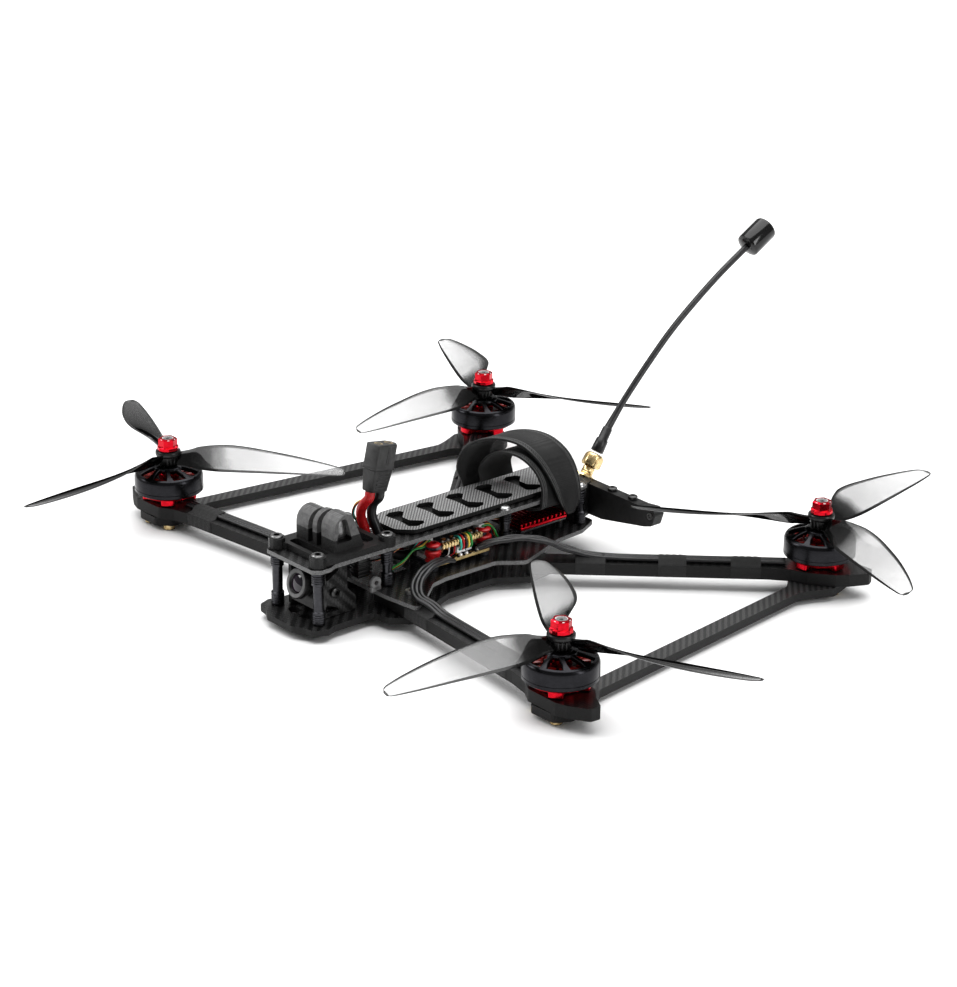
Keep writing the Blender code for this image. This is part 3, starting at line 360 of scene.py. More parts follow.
def lens_glass(name):
    look = Look(name, (0.003, 0.002, 0.005), 0.03, IOR=1.6)
    # Painted reflection: towards a glancing view the colour turns purple, as the coating's sheen.
    tint = look.add("ShaderNodeLayerWeight", {"Blend": 0.35}).outputs["Facing"]
    look.colour(look.ramp(tint, (0.1, (0.002, 0.002, 0.005)), (0.8, (0.03, 0.008, 0.03))))
    look.rough_between(look.noise(0.8), 0.02, 0.06)
    return look.material


def enamel_wire(name, colour):
    """Enamelled windings: closely wound turns, with painted shade in the grooves between them."""
    look = Look(name, colour, 0.3, 0.35, Coat_Weight=0.6)
    z = look.axes()[2]
    turns = look.math("SINE", look.math("MULTIPLY", z, 2.0 * math.pi / (0.55 * MM)))
    # Painted shade: the colour darkens to about a third in the grooves between turns.
    look.colour(look.ramp(turns, (0.1, tuple(part * 0.35 for part in colour)), (0.7, colour)))
    look.bump(turns, 0.12)
    return look.material


def steel(name, shade=0.55):
    look = Look(name, (shade,) * 3, 0.3, 1.0)
    grain = look.noise((0.8, 0.8, 8.0), 4.0)
    look.colour(look.ramp(look.noise(0.7, 4.0), (0.3, shade * 0.6), (0.75, shade * 1.15)))
    look.rough_between(grain, 0.22, 0.45)
    look.bump(grain, 0.01)
    return look.material


CARBON_ARM = carbon("arm_twill", 1.4, 0.006, 0.013, 0.42, 0.012)
CARBON_BOTTOM = carbon("bottom_twill", 1.45, 0.005, 0.035, 0.36, 0.02)
CARBON_PLATE = carbon("plate_twill", 1.45, 0.005, 0.04, 0.36, 0.2)
CARBON_BATTERY = carbon("battery_plate_twill", 0.45, 0.006, 0.34, 0.34, 0.012)
CARBON_BAR = carbon("bar_twill", 0.95, 0.014, 0.06, 0.4, 0.02)
CARBON_CHEEK = carbon("cheek_twill", 1.45, 0.008, 0.05, 0.36, 0.03, 0)
BLACK_PRINT = printed("black_print", 0.012, 0.36)
NOSE_PRINT = printed("nose_print", 0.010, 0.34, 0.1)
BLACK_PLASTIC = moulded("black_plastic", 0.008, 0.3)
CONNECTOR_GREY = moulded("connector_grey", 0.028, 0.42, 4.0, 0.03)
EAR_GREY = moulded("ear_grey", 0.2, 0.45)
LENS_BLACK = moulded("lens_black", 0.012, 0.35)
LENS_GREY = moulded("lens_grey", 0.12, 0.35)
WHITE_PLASTIC = moulded("white_plastic", 0.72, 0.4)
LAMINATE = moulded("laminate_edge", (0.55, 0.42, 0.2), 0.5)
GLOSS_BLACK = moulded("gloss_black", 0.006, 0.14, 3.0, 0.005)
BLACK_BELL = anodised("black_bell", (0.03, 0.03, 0.033), 0.24, 0.1)
BLACK_ANODISED = anodised("black_anodised", (0.06, 0.06, 0.065), 0.26, 0.15)
RED_ANODISED = anodised("red_anodised", (0.55, 0.012, 0.026), 0.24, 0.2)
STEEL = steel("steel")
DARK_STEEL = steel("dark_steel", 0.08)
NUT_STEEL = steel("nut_steel", 0.3)
TIN = steel("tin", 0.85)
GOLD = gold_plate("gold_plate")
RED_WINDING = enamel_wire("red_winding", (0.55, 0.02, 0.012))
COPPER_WINDING = enamel_wire("copper_winding", (0.6, 0.25, 0.08))
RED_SILICONE = silicone("red_silicone", (0.5, 0.008, 0.012))
BLACK_SILICONE = silicone("black_silicone", (0.008, 0.008, 0.009))
TEAL_WIRE = silicone("teal_wire", (0.05, 0.5, 0.4))
GREEN_WIRE = silicone("green_wire", (0.02, 0.28, 0.06))
YELLOW_WIRE = silicone("yellow_wire", (0.85, 0.6, 0.1))
BROWN_WIRE = silicone("brown_wire", (0.28, 0.07, 0.03))
WHITE_WIRE = silicone("white_wire", (0.75, 0.75, 0.72))
CLOTH_TAPE = cloth_tape("cloth_tape")
STRAP_FACE = strap_rubber("strap_rubber")
STRAP_BORDER = moulded("strap_border", 0.035, 0.4, 2.0, 0.04)
STRAP_PILE = hook_pile("strap_pile")
THREAD = moulded("thread", 0.09, 0.6, 8.0, 0.03)
SMOKY_BLADE = smoky_blade("smoky_blade")
BLADE_RIM = moulded("blade_rim", 0.004, 0.16, 3.0, 0.004)
BOARD = solder_mask("black_board", (0.008, 0.009, 0.012))
LENS = lens_glass("lens_glass")

# Mesh shorthand ------------------------------------------------------------------------


def link(item):
    bpy.context.scene.collection.objects.link(item)


def piece(name, bm, look, body="frame", origin=(0, 0, 0), smooth=40.0):
    """A finished piece from a bmesh in mm, riding on a body."""
    bmesh.ops.recalc_face_normals(bm, faces=bm.faces)
    bmesh.ops.transform(bm, matrix=Matrix.Translation(-Vector(origin)), verts=bm.verts)
    bmesh.ops.scale(bm, vec=(MM, MM, MM), verts=bm.verts)
    mesh = bpy.data.meshes.new(name)
    bm.to_mesh(mesh)
    bm.free()
    looks = look if isinstance(look, (list, tuple)) else [look]
    for item in looks:
        mesh.materials.append(item)
    made = bpy.data.objects.new(name, mesh)
    made.location = Vector(origin) * MM
    link(made)
    if smooth:
        mesh.shade_smooth()
        mesh.set_sharp_from_angle(angle=math.radians(smooth))
    bpy.context.view_layer.update()
    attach(made, body)
    return made


def bevelled(item, width, segments=2, angle=35.0):
    modifier = item.modifiers.new("edges", "BEVEL")
    modifier.width = width * MM
    modifier.segments = segments
    modifier.limit_method = "ANGLE"
    modifier.angle_limit = math.radians(angle)
    modifier.harden_normals = False
    return item


def merged(*parts):
    """One bmesh from several."""
    whole = bmesh.new()
    for part in parts:
        mesh = bpy.data.meshes.new("part")
        part.to_mesh(mesh)
        part.free()
        whole.from_mesh(mesh)
        bpy.data.meshes.remove(mesh)
    return whole


def moved(bm, matrix):
    bmesh.ops.transform(bm, matrix=matrix, verts=bm.verts)
    return bm


def at(x, y, z):
    return Matrix.Translation((x, y, z))


def part_turn(step, count):
    """The turn about Z to one of a ring's equally spaced places."""
    return Matrix.Rotation(2.0 * math.pi * step / count, 4, "Z")


def hexagon(radius):
    angles = [math.radians(degrees) for degrees in range(0, 360, 60)]
    return [(radius * math.cos(angle), radius * math.sin(angle)) for angle in angles]


def turned(profile, sides=48, closed=False):
    """A solid turned about Z from (radius, height) points."""
    bm = bmesh.new()
    verts = [bm.verts.new((radius, 0.0, height)) for radius, height in profile]
    edges = [bm.edges.new(pair) for pair in zip(verts, verts[1:])]
    if closed:
        edges.append(bm.edges.new((verts[-1], verts[0])))
    bmesh.ops.spin(
        bm,
        geom=verts + edges,
        cent=(0, 0, 0),
        axis=(0, 0, 1),
        angle=2.0 * math.pi,
        steps=sides,
        use_merge=True,
    )
    bmesh.ops.remove_doubles(bm, verts=bm.verts, dist=0.0005)
    return bm


def rounded(bm, corner):
    bmesh.ops.bevel(bm, geom=bm.edges[:], offset=corner, segments=2, affect="EDGES", profile=0.5)


def block(size, corner=0.2, place=Matrix.Identity(4)):
    """A bevelled block with its base centre at the place."""
    bm = bmesh.new()
    bmesh.ops.create_cube(bm, size=1.0)
    bmesh.ops.scale(bm, vec=size, verts=bm.verts)
    bmesh.ops.translate(bm, vec=(0, 0, size[2] / 2.0), verts=bm.verts)
    if corner:
        rounded(bm, corner)
    return moved(bm, place)


def slab(outline, bottom, top, corner=0.0):
    """A plate from an outline of (x, y) points."""
    bm = bmesh.new()
    verts = [bm.verts.new((x, y, bottom)) for x, y in outline]
    face = bm.faces.new(verts)
    lifted = bmesh.ops.extrude_face_region(bm, geom=[face])
    raised = [item for item in lifted["geom"] if isinstance(item, bmesh.types.BMVert)]
    bmesh.ops.translate(bm, vec=(0, 0, top - bottom), verts=raised)
    if corner:
        rounded(bm, corner)
    return bm


def skinned(rings):
    """A capped skin through rings with the same number of points each."""
    bm = bmesh.new()
    loops = [[bm.verts.new(point) for point in ring] for ring in rings]
    count = len(loops[0])
    for near, far in zip(loops, loops[1:]):
        for index in range(count):
            following = (index + 1) % count
            bm.faces.new((near[index], near[following], far[following], far[index]))
    bm.faces.new(loops[0])
    bm.faces.new(loops[-1])
    return bm


def aimed(origin, direction, side=(1.0, 0.0, 0.0)):
    """A frame at the origin whose +Z runs along the direction, with X near side."""
    z_axis = Vector(direction).normalized()
    x_axis = Vector(side)
    x_axis = (x_axis - z_axis * x_axis.dot(z_axis)).normalized()
    y_axis = z_axis.cross(x_axis)
    matrix = Matrix((x_axis, y_axis, z_axis)).transposed().to_4x4()
    matrix.translation = Vector(origin)
    return matrix


def smooth_route(points, steps):
    """Points along a smooth curve through the given ones."""
    knots = [Vector(point) for point in points]
    padded = [2.0 * knots[0] - knots[1], *knots, 2.0 * knots[-1] - knots[-2]]
    route = []
    for index in range(1, len(padded) - 2):
        before, start, end, after = padded[index - 1 : index + 3]
        for step in range(steps):
            t = step / steps
            bend = (2.0 * before - 5.0 * start + 4.0 * end - after) * t * t
            twist = (3.0 * start - before - 3.0 * end + after) * t * t * t
            route.append(0.5 * (2.0 * start + (end - before) * t + bend + twist))
    route.append(knots[-1])
    return route


def strand(name, routes, radius, look):
    """A curve object with one round strand for each route."""
    curve = bpy.data.curves.new(name, "CURVE")
    curve.dimensions = "3D"
    curve.bevel_depth = radius * MM
    curve.bevel_resolution = 3
    curve.use_fill_caps = True
    for route in routes:
        spline = curve.splines.new("POLY")
        spline.points.add(len(route) - 1)
        for point, place in zip(spline.points, route):
            point.co = (*(place * MM), 1.0)
        spline.use_smooth = True
    curve.materials.append(look)
    made = bpy.data.objects.new(name, curve)
    link(made)
    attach(made, "frame")
    return made


# Camera, light and floor ---------------------------------------------------------------


def make_camera():
    """The studio camera, three quarters from the nose's right."""
    data = bpy.data.cameras.new("studio_camera")
    data.sensor_fit = "AUTO"
    data.sensor_width = 36.0
    data.lens = 104.13
    data.clip_start = 0.05
    data.clip_end = 40.0
    camera = bpy.data.objects.new("studio_camera", data)
    azimuth = math.radians(49.01)
    elevation = math.radians(21.23)
    roll = math.radians(0.455)
    camera.location = Vector((940.1, -831.6, 521.6)) * MM
    turn = Matrix.Rotation(azimuth, 4, "Z") @ Matrix.Rotation(math.pi / 2.0 - elevation, 4, "X")
    camera.rotation_euler = (turn @ Matrix.Rotation(roll, 4, "Z")).to_euler()
    link(camera)
    bpy.context.scene.camera = camera


def area_light(name, place, size, power):
    """A white panel that faces the origin."""
    data = bpy.data.lights.new(name, "AREA")
    data.shape = "RECTANGLE"
    data.size, data.size_y = size
    data.energy = power
    light = bpy.data.objects.new(name, data)
    light.location = place
    light.rotation_euler = (-Vector(place)).to_track_quat("-Z", "Y").to_euler()
    link(light)


def make_studio():
    world = bpy.data.worlds.new("studio")
    world.use_nodes = True
    shade = world.node_tree.nodes["Background"]
    shade.inputs[0].default_value = (1.0, 1.0, 1.0, 1.0)
    shade.inputs[1].default_value = 0.3
    bpy.context.scene.world = world
    bpy.context.scene.view_settings.view_transform = "Standard"
    bpy.context.scene.view_settings.look = "Medium High Contrast"
    data = bpy.data.lights.new("overhead", "SUN")
    data.energy = 3.0
    data.angle = math.radians(75.0)
    overhead = bpy.data.objects.new("overhead", data)
    overhead.rotation_euler = (math.radians(-12.0), math.radians(-8.0), 0.0)
    link(overhead)
    area_light("key", (-0.9, -0.9, 0.9), (0.5, 0.9), 7.0)
    area_light("side", (1.3, 0.3, 0.5), (0.3, 0.8), 4.0)
    look = Look("paper", (0.93,) * 3, 0.85)
    look.colour(look.ramp(look.noise(0.02), (0.3, 0.92), (0.7, 0.94)))
    bm = bmesh.new()
    bmesh.ops.create_grid(bm, x_segments=2, y_segments=2, size=9.0)
    mesh = bpy.data.meshes.new("floor")
    bm.to_mesh(mesh)
    bm.free()
    mesh.materials.append(look.material)
    floor = bpy.data.objects.new("floor", mesh)
    floor.location = (0.0, 0.0, -0.0002)
    link(floor)


# Cords ---------------------------------------------------------------------------------

GAP = 0.3
CONNECTOR_FOOT = (-0.8, -75.9, 54.2)
TERMINAL_OFFSET = 3.6
LEAD_RADIUS = 2.3

RED_LEAD_ROUTE = [
    (-5.2, -57.4, 18.6), (-5.2, -64.0, 19.4), (-5.2, -71.5, 22.6), (-5.3, -76.6, 29.0),
    (-5.4, -78.6, 35.0), (-5.6, -80.6, 42.0), (-3.2, -81.2, 47.6),
]
BLACK_LEAD_ROUTE = [
    (0.4, -57.4, 18.6), (0.4, -62.5, 19.4), (0.0, -68.5, 22.6), (-0.8, -72.6, 29.0),
    (-2.2, -74.2, 35.0), (-4.2, -75.4, 41.0), (-4.0, -74.6, 46.5),
]
SIGNAL_ROUTE = [
    (-8.8, -57.4, 19.6), (-8.9, -64.0, 21.0), (-9.0, -71.0, 25.0), (-9.0, -75.0, 31.0),
    (-9.2, -79.6, 37.0), (-8.7, -82.6, 42.8), (-7.2, -81.4, 47.6),
]


def connector_frame():
    """The plug's frame: at the middle of its foot, +Z up its body, Y along its width."""
    return aimed(CONNECTOR_FOOT, (0.0, 5.2, 23.0), (0.98, 0.19, 0.0))


def into_connector(route, x, y):
    place = connector_frame()
    ends = [place @ Vector((x, y, height)) for height in (-3.4, -1.6, -GAP)]
    return route + ends


def make_lead(name, node, knots, y, look):
    route = smooth_route(into_connector(knots, 0.0, y), 4)
    lead = strand(name, [route], LEAD_RADIUS, look)
    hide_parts(node)


def make_sense_wires():
    """Three thin wires that wind loosely round one route beside the red lead."""
    radius = 0.33
    spread = 0.42
    wires = (("teal", TEAL_WIRE, 0.0), ("yellow", YELLOW_WIRE, 2.1), ("brown", BROWN_WIRE, 4.2))
    middle = smooth_route(into_connector(SIGNAL_ROUTE, -2.2, 0.0), 4)
    for name, look, phase in wires:
        route = []
        for index, place in enumerate(middle):
            angle = phase + index * 0.32
            route.append(place + Vector((math.cos(angle), math.sin(angle), 0.0)) * spread)
        wire = strand(f"sense_wire_{name}", [route], radius, look)
        if name == "teal":
            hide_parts("signal_wires")


def make_plug():
    """The battery plug: keyed block, thin flange, tapered boot with grip ribs."""
    place = connector_frame()
    levels = (
        (0.0, 3.0, 5.7), (0.5, 3.3, 6.0), (10.2, 3.85, 7.2), (10.6, 4.2, 7.7), (12.0, 4.2, 7.7),
        (12.4, 3.95, 7.5), (21.9, 3.95, 7.5), (22.35, 3.6, 7.2),
    )
    rings = []
    for height, half_x, half_y in levels:
        cut = half_x * 0.58
        bend = 0.5
        ring = [
            (half_x, bend - half_y), (half_x, half_y - cut), (half_x - cut, half_y),
            (cut - half_x, half_y), (-half_x, half_y - cut), (-half_x, bend - half_y),
            (bend - half_x, -half_y), (half_x - bend, -half_y),
        ]
        rings.append([place @ Vector((x, y, height)) for x, y in ring])
    shell = skinned(rings)
    ribs = []
    for side in (1.0, -1.0):
        for step in range(5):
            height = 1.8 + 1.75 * step
            half_x = 3.3 + 0.052 * height
            rib = block((0.5, 7.4, 0.7), 0.12, at(side * half_x, -0.8, height))
            ribs.append(moved(rib, place))
    for side in (1.0, -1.0):
        key = block((0.5, 2.0, 8.4), 0.15, at(side * 3.9, 0.4, 12.9))
        ribs.append(moved(key, place))
    body = piece("plug_shell", merged(shell, *ribs), CONNECTOR_GREY)
    bevelled(body, 0.18)
    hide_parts("battery_connector")
    bores = []
    for y in (-TERMINAL_OFFSET, TERMINAL_OFFSET):
        profile = [(1.3, 22.4), (2.1, 22.4), (2.1, 22.39), (2.1, 21.4), (1.3, 21.4)]
        bore = turned(profile, 24, closed=True)
        bores.append(moved(bore, place @ at(0.0, y, 0.0)))
    terminals = piece("plug_terminals", merged(*bores), GOLD)
    return [body, terminals]


def make_cords():
    plug = make_plug()
    leads = (
        ("positive", "red", RED_LEAD_ROUTE, -TERMINAL_OFFSET, RED_SILICONE),
        ("negative", "black", BLACK_LEAD_ROUTE, TERMINAL_OFFSET, BLACK_SILICONE),
    )
    for pole, tint, knots, y, look in leads:
        make_lead(f"lead_{pole}", f"battery_lead_{tint}", knots, y, look)
    make_sense_wires()


# Motors and propellers -----------------------------------------------------------------

SPOKES = 9
SHAFT_RADIUS = 2.5
BLADE_STATIONS = (
    # distance out, leading edge, trailing edge, thickness
    (5.0, 2.2, -2.2, 3.4), (12.0, 3.7, -2.7, 3.0), (20.0, 6.8, -4.5, 2.2), (28.0, 9.4, -5.7, 1.9),
    (38.0, 10.6, -6.3, 1.7), (50.0, 10.2, -6.5, 1.5), (62.0, 8.8, -6.4, 1.3),
    (74.0, 6.2, -6.1, 1.2), (82.0, 3.8, -5.6, 1.1), (86.5, 1.8, -5.1, 1.0), (88.7, -1.2, -4.2, 0.9),
)
PROP_PITCH = 100.0
BLADE_LEVEL = 33.3
PROP_ANGLES = {
    "front_right": (-1, 23.5),
    "front_left": (1, 158.5),
    "rear_right": (1, 99.0),
    "rear_left": (-1, 32.5),
}


def make_bell(corner):
    """The turning can: ring, spoked cap open over the windings, shaft and magnets."""
    wall = [
        (15.2, BELL_BOTTOM), (16.35, BELL_BOTTOM), (BELL_RADIUS, BELL_BOTTOM + 0.4),
        (BELL_RADIUS, 19.0), (16.55, 19.15), (BELL_RADIUS, 19.3), (BELL_RADIUS, 24.6), (16.3, 25.9),
        (15.6, 26.6), (14.7, 26.7), (14.5, 25.6), (15.2, 25.0),
    ]
    crown = [
        (2.0, 27.2), (6.2, 27.6), (7.4, 28.6), (7.2, 29.5), (6.5, 29.9), (SHAFT_RADIUS, 30.1),
        (SHAFT_RADIUS - 0.4, 30.1),
    ]
    parts = [turned(wall, 72, closed=True), turned(crown, 48)]
    for spoke in range(SPOKES):
        rings = []
        for radius, top, half, sweep in (
            (6.6, 29.6, 1.45, 0.0), (9.0, 28.8, 1.1, 3.0), (12.0, 27.8, 1.15, 6.0),
            (15.1, 26.65, 2.0, 8.0),
        ):
            turn = Matrix.Rotation(math.radians(360.0 * spoke / SPOKES + sweep), 4, "Z")
            ring = [
                (radius, half, top - 0.35), (radius, half - 0.35, top), (radius, 0.35 - half, top),
                (radius, -half, top - 0.35), (radius, -half, top - 1.9), (radius, half, top - 1.9),
            ]
            rings.append([turn @ Vector(point) for point in ring])
        parts.append(skinned(rings))
    place = MOTORS[corner]
    bm = moved(merged(*parts), Matrix.Translation(place))
    body = f"rotor_{corner}"
    can = piece(f"bell_can_{corner}", bm, BLACK_BELL, body, place)
    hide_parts(f"bell_{corner}")
    shaft = [
        (0.0, 13.5), (2.0, 13.5), (2.0, 29.0), (SHAFT_RADIUS, 29.2), (SHAFT_RADIUS, 42.7),
        (2.0, 43.2), (0.9, 43.2), (0.9, 42.4), (0.0, 42.2),
    ]
    bm = moved(turned(shaft, 32), Matrix.Translation(place))
    piece(f"motor_shaft_{corner}", bm, STEEL, body, place)
    magnets = []
    for index in range(14):
        turn = part_turn(index, 14)
        magnets.append(block((0.9, 5.6, 6.6), 0.12, turn @ at(14.75, 0, 17.8)))
    bm = moved(merged(*magnets), Matrix.Translation(place))
    piece(f"magnets_{corner}", bm, STEEL, body, place)


def make_stator(corner):
    """The fixed half: lobed red foot, bearing tube, laminated teeth and windings."""
    place = MOTORS[corner]
    angle = math.radians(ARM_ANGLES[corner])
    outline = []
    sides = 144
    for step in range(sides):
        around = 2.0 * math.pi * step / sides
        off_lobe = abs((around + math.pi / 2.0) % (math.pi / 2.0) - math.pi / 4.0)
        radius = max(8.6, min(13.1, 3.3 / max(math.sin(off_lobe), 0.01)))
        outline.append((radius * math.cos(around), radius * math.sin(around)))
    foot = slab(outline, 12.75, 15.7)
    rim = [(8.0, 15.7), (14.4, 15.9), (14.9, 16.2), (14.9, 16.6), (14.4, 16.8), (8.0, 16.85)]
    flange = turned(rim, 64)
    tube = turned([(2.7, 13.0), (5.0, 13.0), (5.0, 26.0), (4.4, 26.4), (2.7, 26.4)], 40, closed=True)
    turn = Matrix.Translation(place) @ Matrix.Rotation(angle, 4, "Z")
    bm = moved(merged(foot, flange, tube), turn)
    base = piece(f"motor_foot_{corner}", bm, RED_ANODISED, origin=place)
    bevelled(base, 0.25)
    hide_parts(f"motor_base_{corner}")
    teeth = [turned([(5.1, 18.4), (6.6, 18.4), (6.6, 23.6), (5.1, 23.6)], 40, closed=True)]
    coils = []
    for tooth in range(12):
        spin = part_turn(tooth, 12)
        teeth.append(block((7.0, 1.8, 5.0), 0.1, spin @ at(9.6, 0, 18.5)))
        teeth.append(block((1.0, 6.4, 5.2), 0.15, spin @ at(13.4, 0, 18.4)))
        coils.append(block((5.4, 3.7, 7.4), 1.0, spin @ at(10.1, 0, 17.3)))
    bm = moved(merged(*teeth), turn)
    piece(f"stator_core_{corner}", bm, DARK_STEEL, origin=place)
    bm = moved(merged(*coils), turn)
    piece(f"windings_{corner}", bm, RED_WINDING, origin=place)
    heads = []
    for quarter in range(4):
        lobe = Matrix.Rotation(math.radians(45.0 + 90.0 * quarter), 4, "Z")
        profile = [(0.0, 15.6), (1.7, 15.6), (1.7, 16.0), (1.0, 16.25), (0.0, 16.25)]
        heads.append(moved(turned(profile, 16), lobe @ at(11.3, 0, 0)))
    bm = moved(merged(*heads), turn)
    piece(f"motor_screw_tips_{corner}", bm, STEEL, origin=place)


def blade(turn, spin):
    """One blade: cambered section with a rounded leading edge and cut tip."""
    stations = smooth_route([(s[0], s[1], s[2]) for s in BLADE_STATIONS], 5)
    thickness = smooth_route([(s[0], s[3], 0.0) for s in BLADE_STATIONS], 5)
    chordwise = (0.0, 0.02, 0.08, 0.3, 0.5, 0.7, 0.93, 1.0)
    rings = []
    for place, depth in zip(stations, thickness):
        distance, leading, trailing = place
        slope = PROP_PITCH / (2.0 * math.pi * max(distance, 14.0))
        upper = []
        lower = []
        for part in chordwise:
            along = leading + (trailing - leading) * part
            full = math.sqrt(max(part * (1.0 - part), 0.0)) * 2.0 * (1.0 - 0.35 * part)
            half = 0.46 * depth.y * full
            camber = (leading - trailing) * 0.018 * 4.0 * part * (1.0 - part)
            upper.append((distance, spin * along, BLADE_LEVEL + along * slope + camber + half))
            lower.append((distance, spin * along, BLADE_LEVEL + along * slope + camber - half))
        rings.append([turn @ Vector(point) for point in upper + lower[-2:0:-1]])
    bm = skinned(rings)
    size = len(rings[0])
    last = (len(rings) - 1) * size
    rim = (0, 1, 6, 7, 12, 13)
    for number, polygon in enumerate(bm.faces):
        if number >= last - 2 * size or number % size in rim:
            polygon.material_index = 1
    return bm


def make_propeller(corner):
    spin, angle = PROP_ANGLES[corner]
    place = MOTORS[corner]
    hub = [
        (2.9, 30.7), (4.4, 30.7), (4.8, 31.2), (5.0, 34.2), (5.9, 34.9), (6.2, 35.4), (6.2, 36.9),
        (5.8, 37.4), (2.9, 37.5),
    ]
    root = Matrix.Translation(place) @ Matrix.Rotation(math.radians(angle), 4, "Z")
    blades = []
    gussets = []
    for index in range(3):
        turn = part_turn(index, 3)
        blades.append(moved(blade(turn, spin), root))
        for rib in (-18.0, 0.0, 18.0):
            lean = turn @ Matrix.Rotation(math.radians(60.0 + rib), 4, "Z")
            gussets.append(block((1.0, 0.6, 4.0), 0.15, lean @ at(5.1, 0, 31.0)))
    body = f"rotor_{corner}"
    bm = merged(*blades)
    looks = [SMOKY_BLADE, BLADE_RIM]
    made = piece(f"blades_{corner}", bm, looks, body, place, 60.0)
    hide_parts(f"propeller_{corner}")
    bm = moved(merged(turned(hub, 48, closed=True), *gussets), root)
    piece(f"prop_hub_{corner}", bm, BLACK_PLASTIC, body, place)


def make_nut(corner):
    """The flanged lock nut, with its nylon ring."""
    place = MOTORS[corner]
    body = f"rotor_{corner}"
    nut = NODES[f"prop_nut_{corner}"]
    paint(nut, RED_ANODISED)
    bevelled(nut, 0.18, 2, 20.0)
    ring = turned([(2.55, 42.6), (3.6, 42.6), (3.9, 43.2), (3.5, 43.55), (2.55, 43.5)], 32, closed=True)
    bm = moved(ring, Matrix.Translation(place))
    piece(f"nut_collar_{corner}", bm, WHITE_PLASTIC, body, place)


def make_motors():
    for corner in CORNERS:
        make_bell(corner)
        make_stator(corner)
        make_propeller(corner)
        make_nut(corner)


# Arms, wires and tape ------------------------------------------------------------------

ARM_HALF_WIDTH = 5.5
ARM_OFFSET = -2.2
WIRE_RADIUS = 0.98
FRONT_WIRE_ROUTE = [
    (21.4, -49.5, 20.4), (23.0, -57.5, 22.3), (26.2, -67.5, 22.6), (30.2, -76.0, 20.8),
    (34.6, -81.0, 18.6), (40.0, -83.4, 16.9), (47.2, -83.0, 15.9),
]
REAR_WIRE_ROUTE = [
    (18.5, -31.0, 20.8), (22.5, -25.0, 23.2), (27.5, -15.0, 24.0), (33.5, -5.0, 22.4),
    (40.0, 4.0, 18.0), (47.0, 12.4, 14.8),
]
# distances inward from the motor of each tape wrap's middle, with its length
TAPES = {
    "front_right": ((35.0, 13.0), (98.0, 18.0)),
    "front_left": ((30.0, 17.0), (96.0, 16.0)),
    "rear_right": ((34.0, 14.0), (68.0, 13.0), (106.0, 14.0)),
    "rear_left": ((34.0, 14.0), (68.0, 13.0), (106.0, 14.0)),
}


def arm_frame(corner):
    """At the motor, with +X outward along the arm and +Y to its rear side."""
    side = 1.0 if corner.endswith("right") else -1.0
    end = "front" if corner.startswith("front") else "rear"
    motor = MOTORS[f"{end}_right"]
    turn = Matrix.Rotation(math.radians(ARM_ANGLES[f"{end}_right"]), 4, "Z")
    return Matrix.Diagonal((side, 1.0, 1.0, 1.0)) @ Matrix.Translation(motor) @ turn


def make_wires(corner):
    """Three motor wires side by side, taped down along the arm."""
    end = "front" if corner.startswith("front") else "rear"
    side = 1.0 if corner.endswith("right") else -1.0
    place = arm_frame(corner)
    level = ARM_TOP + GAP + 1.05
    across = -0.3 if end == "front" else -2.2
    inward = (86.0, 64.0, 38.0, 15.6) if end == "front" else (92.0, 68.0, 40.0, 15.6)
    knots = FRONT_WIRE_ROUTE if end == "front" else REAR_WIRE_ROUTE
    knots = [Vector((side * x, y, z)) for x, y, z in knots]
    knots += [place @ Vector((-distance, across, level)) for distance in inward]
    middle = smooth_route(knots, 6)
    routes = []
    for lane in (-1.0, 0.0, 1.0):
        route = []
        for index, point in enumerate(middle):
            near = middle[max(index - 1, 0)]
            far = middle[min(index + 1, len(middle) - 1)]
            sideways = (far - near).cross(Vector((0, 0, 1))).normalized()
            loose = 0.16 * math.sin(index * 0.9 + lane * 2.0) if index < 30 else 0.0
            route.append(point + sideways * (lane * 1.93) + Vector((0, 0, loose)))
        routes.append(route)
    wires = strand(f"wires_{corner}", routes, WIRE_RADIUS, BLACK_SILICONE)
    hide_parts(f"motor_wires_{corner}")
    for number, (distance, length) in enumerate(TAPES[corner]):
        make_tape(f"tape_{corner}_{number}", place, across, distance, length)


def make_tape(name, place, across, distance, length):
    """Cloth tape wound round an arm and the wires on it."""
    near = ARM_OFFSET - ARM_HALF_WIDTH
    far = ARM_OFFSET + ARM_HALF_WIDTH
    rings = []
    turns = int(length / 1.0)
    for step in range(turns + 1):
        x = -distance - length / 2.0 + length * step / turns
        slack = 0.28 + 0.1 * math.sin(step * 2.1 + distance)
        if step in (0, turns):
            slack = 0.12
        hump = 2.35 + slack
        ring = [
            (near - slack, ARM_BOTTOM + 0.6), (near - slack, ARM_TOP - 0.6),
            (near - slack + 0.5, ARM_TOP + slack * 0.6),
            (max(across - 4.4, near + 0.7), ARM_TOP + slack + 0.25),
            (across - 3.0, ARM_TOP + hump - 0.6), (across - 1.8, ARM_TOP + hump),
            (across, ARM_TOP + hump + 0.05), (across + 1.8, ARM_TOP + hump),
            (across + 3.0, ARM_TOP + hump - 0.6),
            (min(across + 4.4, far - 0.7), ARM_TOP + slack + 0.25),
            (far + slack - 0.5, ARM_TOP + slack * 0.6), (far + slack, ARM_TOP - 0.6),
            (far + slack, ARM_BOTTOM + 0.6), (far + slack - 0.6, ARM_BOTTOM - slack * 0.4),
            (near - slack + 0.6, ARM_BOTTOM - slack * 0.4),
        ]
        rings.append([place @ Vector((x, y, z)) for y, z in ring])
    piece(name, skinned(rings), CLOTH_TAPE, smooth=50.0)


